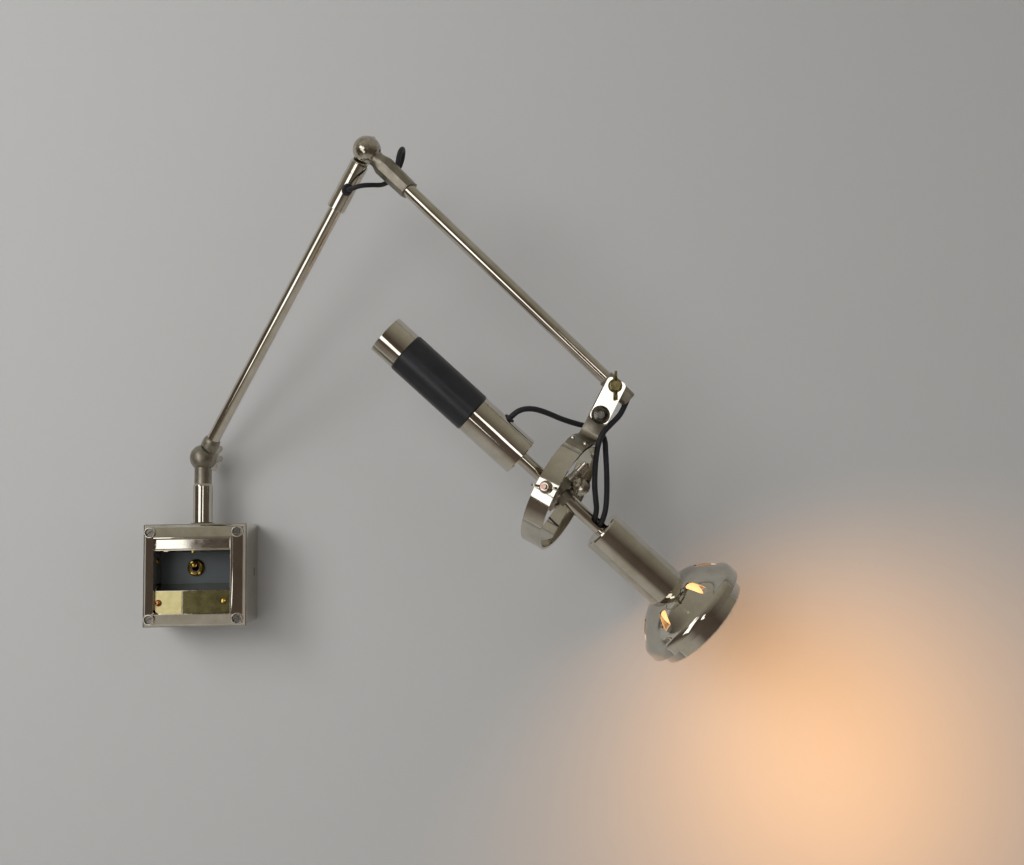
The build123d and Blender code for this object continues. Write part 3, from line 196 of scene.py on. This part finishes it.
def platedMetal(name, bright, dull, smooth, worn, haze, pitSize, pitDepth):
    material, tree, shader, output = newMaterial(name)
    shader.inputs["Metallic"].default_value = 1.0
    place = objectPlace(tree)
    cloud = addNode(tree, "ShaderNodeTexNoise",
                    {"Scale": perMm(haze), "Detail": 4, "Roughness": 0.6}, place)
    tone = ramp(tree, cloud, "Fac", plateWear["hazeTurn"], (toLinear(bright), toLinear(dull)))
    pits = addNode(tree, "ShaderNodeTexVoronoi",
                   {"Scale": perMm(pitSize), "Randomness": 1.0}, place, feature="F1")
    spots = ramp(tree, pits, "Distance", plateWear["pitTurn"], (white, black))
    patch = addNode(tree, "ShaderNodeTexNoise",
                    {"Scale": perMm(haze * plateWear["patchShare"]), "Detail": 3}, place)
    pitted = ramp(tree, patch, "Fac", plateWear["patchTurn"])
    specks = addNode(tree, "ShaderNodeMath", {},
                     {0: (spots, "Color"), 1: (pitted, "Color")}, operation="MULTIPLY")
    mixed = addNode(tree, "ShaderNodeMix", {}, {"Factor": (specks, "Value")}, data_type="RGBA")
    tree.links.new(tone.outputs["Color"], mixed.inputs[mixFirst])
    mixed.inputs[mixSecond].default_value = toLinear(plateWear["pitColour"])
    tree.links.new(mixed.outputs[mixResult], shader.inputs["Base Color"])
    fine = addNode(tree, "ShaderNodeTexNoise",
                   {"Scale": perMm(haze * plateWear["fineShare"]), "Detail": 6, "Roughness": 0.7},
                   place)
    gloss = glossOf(tree, fine, plateWear["glossTurn"], smooth, worn)
    rough = addNode(tree, "ShaderNodeMath", {1: plateWear["pitRoughness"]},
                    {0: (specks, "Value"), 2: (gloss, "Result")}, operation="MULTIPLY_ADD")
    tree.links.new(rough.outputs["Value"], shader.inputs["Roughness"])
    grainOf(tree, shader, fine, pitDepth, plateWear["relief"])
    return material


# nickel-chrome plate on polished brass and steel: a warm grey mirror with age haze and a few
# pin-head pits
mirrorPlate = platedMetal("mirrorPlate", "#D9D4C8", "#C6BFB0", 0.035, 0.10, 24.0, 1.3, 0.03)
# the same plate over cast pieces: satin, slightly wavy, greyer
castPlate = platedMetal("castPlate", "#ADA799", "#938D80", 0.36, 0.50, 12.0, 0.9, 0.35)
# nickel screws, bolts and nuts
nickelSteel = platedMetal("nickelSteel", "#CFC9BC", "#A69E8E", 0.10, 0.24, 7.0, 0.8, 0.15)
# oil-blacked steel screws, rubbed bright on their crowns
darkSteel = platedMetal("darkSteel", "#77736D", "#55514C", 0.18, 0.34, 5.0, 0.8, 0.2)


brassWear = {"stainSize": 9.0, "stainTurn": (0.36, 0.7), "glossTurn": (0.3, 0.7),
             "smoother": 0.75, "rougher": 1.3, "strength": 0.2, "relief": 0.00005}
brushed, plain = (0.12, 1.0, 1.0), (1.0, 1.0, 1.0)      # how the grain is drawn out


def brassMetal(name, bright, dull, roughness, grain, stretch):
    material, tree, shader, output = newMaterial(name)
    shader.inputs["Metallic"].default_value = 1.0
    place = objectPlace(tree)
    drawn = addNode(tree, "ShaderNodeMapping", {"Scale": stretch}, place)
    lines = addNode(tree, "ShaderNodeTexNoise",
                    {"Scale": perMm(grain), "Detail": 5, "Roughness": 0.65},
                    {"Vector": (drawn, "Vector")})
    stain = addNode(tree, "ShaderNodeTexNoise",
                    {"Scale": perMm(brassWear["stainSize"]), "Detail": 4}, place)
    tone = ramp(tree, stain, "Fac", brassWear["stainTurn"], (toLinear(bright), toLinear(dull)))
    tree.links.new(tone.outputs["Color"], shader.inputs["Base Color"])
    gloss = glossOf(tree, lines, brassWear["glossTurn"],
                    roughness * brassWear["smoother"], roughness * brassWear["rougher"])
    tree.links.new(gloss.outputs["Result"], shader.inputs["Roughness"])
    grainOf(tree, shader, lines, brassWear["strength"], brassWear["relief"])
    return material


# lacquered brass plate, still bright, brushed along its length at about 0.4 mm
brightBrass = brassMetal("brightBrass", "#D6CC98", "#C6BB84", 0.36, 0.4, brushed)
# the same brass gone dark olive with age, on the wider plate
dullBrass = brassMetal("dullBrass", "#5F593A", "#4A452D", 0.26, 0.4, brushed)
# handled brass wing nut, brown-green in its corners
agedBrass = brassMetal("agedBrass", "#A79B6C", "#6F6542", 0.30, 0.6, plain)
# turned brass fittings round the switch
turnedBrass = brassMetal("turnedBrass", "#D8BE6A", "#A9873C", 0.16, 0.5, plain)
# copper-flashed end of the near trunnion bolt, dulled to pink
rosyBolt = brassMetal("rosyBolt", "#D9B0A6", "#C39489", 0.38, 0.6, plain)
# copper-flashed screw head
copperScrew = brassMetal("copperScrew", "#D08C58", "#A8623A", 0.20, 0.6, plain)


mouldWear = {"ior": 1.5, "cloudTurn": (0.35, 0.7), "glossTurn": (0.3, 0.7),
             "smoother": 0.85, "rougher": 1.2, "relief": 0.0001}


def mouldedSurface(name, colour, second, roughness, patch, grain, depth):
    material, tree, shader, output = newMaterial(name)
    shader.inputs["IOR"].default_value = mouldWear["ior"]
    place = objectPlace(tree)
    cloud = addNode(tree, "ShaderNodeTexNoise", {"Scale": perMm(patch), "Detail": 4}, place)
    tone = ramp(tree, cloud, "Fac", mouldWear["cloudTurn"], (toLinear(colour), toLinear(second)))
    tree.links.new(tone.outputs["Color"], shader.inputs["Base Color"])
    fine = addNode(tree, "ShaderNodeTexNoise",
                   {"Scale": perMm(grain), "Detail": 5, "Roughness": 0.6}, place)
    gloss = glossOf(tree, fine, mouldWear["glossTurn"],
                    roughness * mouldWear["smoother"], roughness * mouldWear["rougher"])
    tree.links.new(gloss.outputs["Result"], shader.inputs["Roughness"])
    grainOf(tree, shader, fine, depth, mouldWear["relief"])
    return material


# stoved grey enamel on the switch plate, faint orange peel of about 1 mm
greyEnamel = mouldedSurface("greyEnamel", "#3B4143", "#363B3D", 0.46, 20.0, 1.0, 0.15)
# turned ebonite grip: near-black, satin with a dull sheen
ebonite = mouldedSurface("ebonite", "#1E1E22", "#17171B", 0.32, 14.0, 0.5, 0.2)
# cord sheath and grommets: matt rubber, dusty black
rubberSheath = mouldedSurface("rubberSheath", "#1D1D20", "#151518", 0.55, 5.0, 0.5, 0.3)
grommetRubber = mouldedSurface("grommetRubber", "#242327", "#19191C", 0.45, 4.0, 0.4, 0.3)
# baked white enamel inside the dome, which throws the light out through the slots
whiteEnamel = mouldedSurface("whiteEnamel", "#EDE6DA", "#E4DCCD", 0.45, 15.0, 1.0, 0.1)
# phenolic lampholder and switch body: dark brown, glossy moulding
phenolic = mouldedSurface("phenolic", "#3A2A22", "#2A1E19", 0.3, 8.0, 0.7, 0.2)


# pearl glass of the lit bulb
pearlGlass = {"ior": 1.52, "roughness": 0.35, "strength": 1.25, "frostSize": 6.0,
              "glass": ("#FFE0B8", "#FFD3A0"), "glassTurn": (0.35, 0.7),
              "glow": ("#FFC78C", "#FFB870"), "glowTurn": (0.3, 0.75)}


def litGlass():
    material, tree, shader, output = newMaterial("litGlass")
    shader.inputs["IOR"].default_value = pearlGlass["ior"]
    shader.inputs["Roughness"].default_value = pearlGlass["roughness"]
    shader.inputs["Emission Strength"].default_value = pearlGlass["strength"]
    frost = addNode(tree, "ShaderNodeTexNoise",
                    {"Scale": perMm(pearlGlass["frostSize"]), "Detail": 3}, objectPlace(tree))
    for socket, tones, turn in (("Base Color", "glass", "glassTurn"),
                                ("Emission Color", "glow", "glowTurn")):
        first, second = pearlGlass[tones]
        tone = ramp(tree, frost, "Fac", pearlGlass[turn], (toLinear(first), toLinear(second)))
        tree.links.new(tone.outputs["Color"], shader.inputs[socket])
    return material


# the elbow's ball, polished where its socket is satin
elbowBall = {"centre": Vector((0.1783, -0.1549, 0.3936)), "radius": 0.0136}
# where the bright terminal plate ends, between the two terminal screws, behind the near bolt
plateSeam, screwMiddle, nearBolt = -0.0111, 0, -0.15
# the head's line, on which the handle, the neck and the dome are turned
headCentre = Vector((0.3541, -0.1353, 0.0736))
headAxis = Vector((0.7324, 0.0633, -0.6779)).normalized()
headTurn = headAxis.to_track_quat("Z", "Y").to_euler()
domeInside = {"clear": 0.012, "facing": -0.2}


def onElbowBall(face):
    return (face.center - elbowBall["centre"]).length < elbowBall["radius"]


def insideDome(face):        # off the head's line, and looking back to it
    out = face.center - headCentre
    out -= headAxis * out.dot(headAxis)
    return (out.length > domeInside["clear"]
            and face.normal.dot(out.normalized() - headAxis) < domeInside["facing"])


paint(mirrorPlate, "wall_box", "front_frame", "name_strip", "terminal_hood", "post_sleeve",
      "arm1_tube", "arm2_tube", "elbow_sleeve", "ring_band", "ring_rivets", "head_tube",
      "neck_housing", "handle_cap", "handle_body", "shade", "shade_rim", "bracket_front_plate",
      "bracket_rear_plate")
paint(castPlate, "post_knuckle", "arm1_knuckle", "elbow_rear_half", "arm2_socket", "arm2_end",
      "gimbal_eye", "tube_clamp", "ring_stem", "post_bush")
paint(nickelSteel, "elbow_bolt", "elbow_wing_nut", "lower_bolt", "lower_wing_nut",
      "near_wing_nut", "far_wing_nut", "trunnion_bolts", "tongue_spacers", "post_nut",
      "switch_bracket", "swivel_pins", "knurled_nut", "lock_screw")
for half in ("arm2_socket", "elbow_rear_half"):
    paintPart(nickelSteel, half, onElbowBall)
paint(greyEnamel, "switch_panel")
paint(brightBrass, "terminal_plates")
paintPart(dullBrass, "terminal_plates", lambda face: face.center.x > plateSeam)
paint(turnedBrass, "switch_ring", "terminal_screws", "toggle_lever", "brass_screws")
paintPart(copperScrew, "terminal_screws", lambda face: face.center.x < screwMiddle)
paintPart(rosyBolt, "trunnion_bolts", lambda face: face.center.y < nearBolt)
paint(agedBrass, "bracket_wing_nut", "bracket_bolt")
paint(darkSteel, "frame_screws", "stem_screw")
paint(ebonite, "handle_grip")
paint(grommetRubber, "sleeve_grommet", "handle_grommet")
paint(phenolic, "lampholder", "switch_body")
paint(litGlass(), "bulb")
paintPart(whiteEnamel, "shade", insideDome)
print("materials on the nodes")


# ------------ the box's front: a pressed frame with mitred slopes and a screw boss at each
# corner; slope, boss and field are steps of mm inward and mm up, the rest is in metres
frontCasting = {"width": 0.100, "flange": 0.003, "back": -0.057,
                "slope": ((0.8, 0.2), (1.2, 2.2), (1.2, 1.4), (4.6, 2.1), (3.9, 1.8), (0.4, 0.3)),
                "windowSize": (0.0745, 0.0738), "windowShift": (-0.00125, -0.0006),
                "innerEdge": 0.35, "nearBack": 0.0001,
                "bossPlace": 0.042, "bossFoot": 0.0060, "bossSides": 48,
                "bossBase": -0.064, "bossFloor": -0.06405,
                "boss": ((0.3, 3.5), (0.35, 1.2), (0.45, 0.55), (0.5, 0.1), (0.4, -0.4)),
                "edge": 0.00025, "sharp": 18.0}


def stepIn(steps):                # insets the picked face, one step after another
    for inward, upward in steps:
        bpy.ops.mesh.inset(thickness=inward / 1000, depth=upward / 1000, use_boundary=True)


def sumOf(steps, part):           # how far the steps go in all, in mm
    return sum(step[part] for step in steps)


def extrudeBack(distance):
    bpy.ops.mesh.extrude_region_move(TRANSFORM_OT_translate={"value": (0, distance, 0)})


def cornerBoss(across, up):
    clearSelection()
    base, back = frontCasting["bossBase"], frontCasting["back"]
    deep = base - back
    bpy.ops.mesh.primitive_cylinder_add(
        vertices=frontCasting["bossSides"], radius=frontCasting["bossFoot"], depth=abs(deep),
        location=(across, back + deep / 2, up), rotation=(quarterTurn, 0, 0))
    bossPiece = bpy.context.active_object
    bakeTransform()
    pickFaces(bossPiece, looksForward)
    stepIn(frontCasting["boss"])
    crest = base - sumOf(frontCasting["boss"], 1) / 1000
    extrudeBack(frontCasting["bossFloor"] - crest)
    bpy.ops.object.mode_set(mode="OBJECT")
    return bossPiece


def pressedFrame():
    clearSelection()
    width, flange, back = (frontCasting[key] for key in ("width", "flange", "back"))
    slope, innerEdge = frontCasting["slope"], frontCasting["innerEdge"]
    bpy.ops.mesh.primitive_cube_add(size=1, location=(0, back - flange / 2, 0),
                                    scale=(width, flange, width))
    piece = bpy.context.active_object
    bakeTransform()
    pickFaces(piece, looksForward)
    stepIn(slope)
    left = width - 2 * sumOf(slope, 0) / 1000
    windowWide, windowHigh = frontCasting["windowSize"]
    bpy.ops.transform.resize(value=(windowWide / left, 1, windowHigh / left))
    shiftX, shiftZ = frontCasting["windowShift"]
    bpy.ops.transform.translate(value=(shiftX, 0, shiftZ))
    stepIn(((innerEdge, -innerEdge),))
    crest = back - flange - (sumOf(slope, 1) - innerEdge) / 1000
    extrudeBack(back - crest)
    pickFaces(piece, lambda face: abs(face.center.y - back) < frontCasting["nearBack"]
              and abs(face.normal.y) > squareOn)
    bpy.ops.mesh.bridge_edge_loops()
    bpy.ops.object.mode_set(mode="OBJECT")
    place = frontCasting["bossPlace"]
    joinTo(piece, [cornerBoss(across, up) for across in (-place, place) for up in (-place, place)])
    finishPiece(piece, "pressedFrame", mirrorPlate, "box",
                frontCasting["edge"], frontCasting["sharp"])
    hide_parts("front_frame")


nameBar = {"left": -0.0381, "right": 0.0356, "low": 0.0249, "high": 0.0361,
           "back": -0.0619, "front": -0.0637, "field": ((1.0, -0.3), (0.25, -0.15)),
           "roll": 0.0009, "rollSides": 20, "rollBehind": 0.0004, "edge": 0.0002, "sharp": 25.0}


def plainNameBar():
    clearSelection()
    wide, high, deep = (nameBar["right"] - nameBar["left"], nameBar["high"] - nameBar["low"],
                        nameBar["back"] - nameBar["front"])
    centre = ((nameBar["right"] + nameBar["left"]) / 2, (nameBar["back"] + nameBar["front"]) / 2,
              (nameBar["high"] + nameBar["low"]) / 2)
    bpy.ops.mesh.primitive_cube_add(size=1, location=centre, scale=(wide, deep, high))
    piece = bpy.context.active_object
    bakeTransform()
    pickFaces(piece, looksForward)
    stepIn(nameBar["field"])
    clearSelection()
    bpy.ops.mesh.primitive_cylinder_add(
        vertices=nameBar["rollSides"], radius=nameBar["roll"], depth=wide,
        location=(centre[0], nameBar["front"] + nameBar["rollBehind"], nameBar["low"]),
        rotation=(0, quarterTurn, 0))
    roll = bpy.context.active_object
    bakeTransform()
    joinTo(piece, [roll])
    finishPiece(piece, "plainNameBar", mirrorPlate, "box",
                nameBar["edge"], nameBar["sharp"])


# ------------ turned pieces on the head: a crisp cap on the handle, a bead where the dome meets
# its rim; start, end and station are metres along the head's line from its centre
gripCap = {"start": -0.2186, "end": -0.1939, "radius": 0.0193, "sides": 96, "inside": 0.0004,
           "turned": ((0.5, 0.35), (2.4, 0.0), (0.25, -0.2)), "edge": 0.0002, "sharp": 25.0}


def turnedCap():
    clearSelection()
    inside = gripCap["inside"]
    middle = headCentre + headAxis * (gripCap["start"] + gripCap["end"]) / 2
    bpy.ops.mesh.primitive_cylinder_add(
        vertices=gripCap["sides"], radius=gripCap["radius"],
        depth=gripCap["end"] - gripCap["start"] - inside,
        location=middle + headAxis * inside / 2, rotation=headTurn)
    piece = bpy.context.active_object
    bakeTransform()
    pickFaces(piece, lambda face: face.normal.dot(headAxis) < -squareOn)
    stepIn(gripCap["turned"])
    finishPiece(piece, "gripCap", mirrorPlate, "head",
                gripCap["edge"], gripCap["sharp"])
    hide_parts("handle_cap")


rimBead = {"station": 0.1699, "radius": 0.0479, "thickness": 0.0007, "around": 120, "section": 10,
           "edge": 0, "sharp": 60.0}


def turnedBead():
    clearSelection()
    bpy.ops.mesh.primitive_torus_add(
        location=headCentre + headAxis * rimBead["station"], rotation=headTurn,
        major_radius=rimBead["radius"], minor_radius=rimBead["thickness"],
        major_segments=rimBead["around"], minor_segments=rimBead["section"])
    finishPiece(bpy.context.active_object, "rimBead", mirrorPlate, "head",
                rimBead["edge"], rimBead["sharp"])


pressedFrame()
plainNameBar()
turnedCap()
turnedBead()
print("front frame, name bar, cap and bead made")


# ------------ cords: each on its own route, in metres
elbowLead = {
    "body": "elbow", "node": "elbow_cord", "diameter": 0.0044, "length": 0.1374, "stiffness": "medium",
    "points": [(0.1591, -0.1467, 0.3588), (0.1605, -0.1533, 0.3561), (0.1652, -0.1594, 0.3560),
               (0.1733, -0.1614, 0.3580), (0.1835, -0.1558, 0.3603), (0.1899, -0.1471, 0.3626),
               (0.1954, -0.1385, 0.3674), (0.1999, -0.1303, 0.3744), (0.2040, -0.1239, 0.3826),
               (0.2077, -0.1221, 0.3910), (0.2101, -0.1255, 0.3982), (0.2109, -0.1324, 0.4016),
               (0.2101, -0.1400, 0.4004), (0.2085, -0.1465, 0.3954), (0.2070, -0.1504, 0.3874),
               (0.2060, -0.1508, 0.3789)]}
headLead = {
    "body": "ring", "node": "head_cord", "diameter": 0.0052, "length": 0.1255, "stiffness": "medium",
    "points": [(0.4175, -0.1444, 0.1591), (0.4140, -0.1456, 0.1512), (0.4092, -0.1468, 0.1432),
               (0.4009, -0.1478, 0.1354), (0.3929, -0.1488, 0.1273), (0.3887, -0.1498, 0.1171),
               (0.3865, -0.1497, 0.1051), (0.3853, -0.1496, 0.0923), (0.3848, -0.1485, 0.0790),
               (0.3859, -0.1461, 0.0665), (0.3873, -0.1418, 0.0568), (0.3858, -0.1347, 0.0473)]}
handleLead = {
    "body": "head", "node": "handle_cord", "diameter": 0.0052, "length": 0.1909, "stiffness": "medium",
    "points": [(0.3057, -0.1432, 0.1406), (0.3118, -0.1448, 0.1470), (0.3198, -0.1450, 0.1512),
               (0.3306, -0.1428, 0.1516), (0.3437, -0.1384, 0.1478), (0.3575, -0.1328, 0.1422),
               (0.3720, -0.1268, 0.1382), (0.3835, -0.1254, 0.1357), (0.3910, -0.1277, 0.1320),
               (0.3954, -0.1316, 0.1271), (0.3972, -0.1357, 0.1206), (0.3968, -0.1391, 0.1118),
               (0.3972, -0.1400, 0.0990), (0.3974, -0.1397, 0.0858), (0.3972, -0.1393, 0.0739),
               (0.3966, -0.1385, 0.0622), (0.3946, -0.1371, 0.0511), (0.3906, -0.1339, 0.0425)]}
cordForm = {"order": 3, "steps": 8, "roundness": 6}      # of the curve and of its section


def layCord(name, lead):
    curve = bpy.data.curves.new(name, "CURVE")
    curve.dimensions = "3D"
    spline = curve.splines.new("NURBS")
    spline.points.add(len(lead["points"]) - 1)
    for point, place in zip(spline.points, lead["points"]):
        point.co = (*place, 1.0)
    spline.order_u = cordForm["order"]
    spline.use_endpoint_u = True
    spline.resolution_u = cordForm["steps"]
    curve.bevel_depth = lead["diameter"] / 2
    curve.bevel_resolution = cordForm["roundness"]
    curve.use_fill_caps = True
    curve.materials.append(rubberSheath)
    cordObject = bpy.data.objects.new(name, curve)
    scene.collection.objects.link(cordObject)
    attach(cordObject, lead["body"])
    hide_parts(lead["node"])


layCord("elbowLoop", elbowLead)
layCord("headLoop", headLead)
layCord("handleLoop", handleLead)
print("cords laid")


# ------------ stage: plain wall behind the box, and a pale floor that the plate doesn't show
wallPaint = {"size": 6, "behind": 0.0006, "middle": 1.0, "hole": 0.047, "colour": "#A7A7A6"}
floorPaint = {"size": 8, "height": -0.62, "colour": "#C9C8C5"}
mattPaint = 0.9


def stageMaterial(name, colour):             # clear from behind, so that the back can be seen
    material, tree, shader, output = newMaterial(name)
    shader.inputs["Roughness"].default_value = mattPaint
    shader.inputs["Base Color"].default_value = toLinear(colour)
    side = addNode(tree, "ShaderNodeNewGeometry")
    clear = addNode(tree, "ShaderNodeBsdfTransparent")
    mix = addNode(tree, "ShaderNodeMixShader", {},
                  {0: (side, "Backfacing"), 1: (shader, "BSDF"), 2: (clear, "BSDF")})
    tree.links.new(mix.outputs["Shader"], output.inputs["Surface"])
    return material


def stageWall():
    clearSelection()
    bpy.ops.mesh.primitive_plane_add(size=wallPaint["size"],
                                     location=(0, wallPaint["behind"], wallPaint["middle"]),
                                     rotation=(quarterTurn, 0, 0))
    wall = bpy.context.active_object
    wall.name = "stageWall"
    hole = wallPaint["hole"]         # opening behind the box, so that its back shows from behind
    bakeTransform()
    bpy.ops.object.mode_set(mode="EDIT")
    for axis in (0, 2):
        for at in (-hole, hole):
            normal, place = [0, 0, 0], [0, 0, 0]
            normal[axis], place[axis] = 1, at
            bpy.ops.mesh.select_all(action="SELECT")
            bpy.ops.mesh.bisect(plane_co=place, plane_no=normal)
    pickFaces(wall, lambda face: abs(face.center.x) < hole and abs(face.center.z) < hole)
    bpy.ops.mesh.delete(type="FACE")
    bpy.ops.object.mode_set(mode="OBJECT")
    wall.data.materials.append(stageMaterial("stageWallPaint", wallPaint["colour"]))
    return wall


def stageFloor():
    clearSelection()
    bpy.ops.mesh.primitive_plane_add(size=floorPaint["size"], location=(0, 0, floorPaint["height"]))
    floor = bpy.context.active_object
    floor.name = "stageFloor"
    floor.data.materials.append(stageMaterial("stageFloorPaint", floorPaint["colour"]))
    floor.visible_glossy = False
    return floor


stageWall()
stageFloor()


def areaLight(name, place, toward, power, mirrored, **settings):
    light = bpy.data.lights.new(name, "AREA")
    light.energy = power
    for key, value in settings.items():
        setattr(light, key, value)
    lamp = bpy.data.objects.new(name, light)
    lamp.location = place
    lamp.rotation_euler = Vector(toward).to_track_quat("-Z", "Y").to_euler()
    lamp.visible_camera = False
    lamp.visible_glossy = mirrored       # whether the plated metal shows it
    scene.collection.objects.link(lamp)
    return lamp


def softbox(name, place, target, width, height, power, mirrored):
    areaLight(name, place, Vector(target) - Vector(place), power, mirrored,
              shape="RECTANGLE", size=width, size_y=height)


# name, place, what it is turned to, width and height in metres, power in watts
panes = (     # windows that show in the plate, each only as bright as white paper needs
    ("windowPaneNear", (-0.835, -2.2, -0.1), (-0.835, 0, -0.1), 0.57, 2.0, 7),
    ("windowPaneFar", (-1.465, -2.2, -0.1), (-1.465, 0, -0.1), 0.57, 2.0, 7),
    ("windowHigh", (-1.35, -1.55, 0.95), (0.2, 0, 0.1), 0.45, 0.9, 3.2),
    ("windowRight", (0.51, -2.2, 0.07), (0.51, 0, 0.07), 0.30, 0.40, 0.8))
fills = (     # soft light for the painted and matt surfaces
    ("keyLeft", (-1.35, -1.55, 0.95), (0.2, 0, 0.1), 0.8, 1.3, 22),
    ("keyFront", (-0.5, -2.1, 0.6), (0.2, 0, 0.1), 1.0, 1.0, 12),
    ("roomFill", (1.9, -1.6, 0.4), (0.2, 0, 0.0), 1.6, 1.6, 7))
for pane in panes:
    softbox(*pane, mirrored=True)
for fill in fills:
    softbox(*fill, mirrored=False)
softbox("backFill", (0.6, 1.8, 0.8), (0.2, 0, 0.0), 1.5, 1.5, 14, mirrored=True)

# the lit bulb's throw on the wall, warm, soft and wide, riding with the head
bulbThrow = {"place": (0.593, -0.320, -0.106), "toward": (0.224, 0.832, -0.507),
             "size": 0.12, "spread": 121, "power": 1.1, "colour": "#FFB45D"}


def throwLight():
    lamp = areaLight("bulbThrow", bulbThrow["place"], bulbThrow["toward"], bulbThrow["power"],
                     False, shape="DISK", size=bulbThrow["size"],
                     spread=math.radians(bulbThrow["spread"]),
                     color=toLinear(bulbThrow["colour"])[:3])
    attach(lamp, "head")


throwLight()

# the room in front, which only the plated metal shows: pale at the floor, brown at eye height,
# olive-grey above, by the share of its height
roomShades = ((0.0, "#B0ACA4"), (0.12, "#A39F97"), (0.24, "#5F554D"), (0.50, "#50463F"),
              (0.64, "#726C62"), (0.78, "#8E8A7E"), (1.0, "#A09C92"))
roomForm = {"radius": 3.2, "segments": 48, "rings": 24, "cut": -0.05}


def roomShell():
    clearSelection()
    radius = roomForm["radius"]
    bpy.ops.mesh.primitive_uv_sphere_add(segments=roomForm["segments"],
                                         ring_count=roomForm["rings"], radius=radius)
    shell = bpy.context.active_object
    shell.name = "roomShell"
    bpy.ops.object.mode_set(mode="EDIT")
    bpy.ops.mesh.select_all(action="SELECT")
    bpy.ops.mesh.bisect(plane_co=(0, roomForm["cut"], 0), plane_no=(0, 1, 0), clear_outer=True)
    bpy.ops.object.mode_set(mode="OBJECT")
    material, tree, shader, output = newMaterial("roomShell")
    place = addNode(tree, "ShaderNodeTexCoord")
    height = addNode(tree, "ShaderNodeSeparateXYZ", links={0: (place, "Object")})
    part = addNode(tree, "ShaderNodeMapRange", {"From Min": -radius, "From Max": radius},
                   {"Value": (height, "Z")})
    shades = addNode(tree, "ShaderNodeValToRGB", links={"Fac": (part, "Result")})
    for share, colour in roomShades[1:-1]:
        shades.color_ramp.elements.new(share)
    for element, (share, colour) in zip(shades.color_ramp.elements, roomShades):
        element.position, element.color = share, toLinear(colour)
    glow = addNode(tree, "ShaderNodeEmission", {"Strength": 1.0}, {"Color": (shades, "Color")})
    tree.links.new(glow.outputs["Emission"], output.inputs["Surface"])
    shell.data.materials.append(material)
    shell.visible_camera = shell.visible_diffuse = shell.visible_shadow = False
    return shell


roomShell()

# the world: a warm grey light, seen as a paler grey by the camera, in mirrors and through glass
worldTones = {"light": ("#8F8A86", 0.75), "seen": ("#C4C3C1", 1.0)}
world = bpy.data.worlds.new("room")
scene.world = world
world.use_nodes = True
roomTree = world.node_tree
roomTree.nodes.clear()
rays = addNode(roomTree, "ShaderNodeLightPath")
roomLight, roomSeen = (
    addNode(roomTree, "ShaderNodeBackground", {"Color": toLinear(colour), "Strength": strength})
    for colour, strength in worldTones.values())
cameraOrGloss = addNode(roomTree, "ShaderNodeMath", {},
                        {0: (rays, "Is Camera Ray"), 1: (rays, "Is Glossy Ray")},
                        operation="MAXIMUM")
seen = addNode(roomTree, "ShaderNodeMath", {},
               {0: (cameraOrGloss, "Value"), 1: (rays, "Is Transmission Ray")},
               operation="MAXIMUM")
roomMix = addNode(roomTree, "ShaderNodeMixShader", {},
                  {0: (seen, "Value"), 1: (roomLight, "Background"), 2: (roomSeen, "Background")})
addNode(roomTree, "ShaderNodeOutputWorld", links={"Surface": (roomMix, "Shader")})
scene.view_settings.view_transform = "Standard"
print("stage lit")
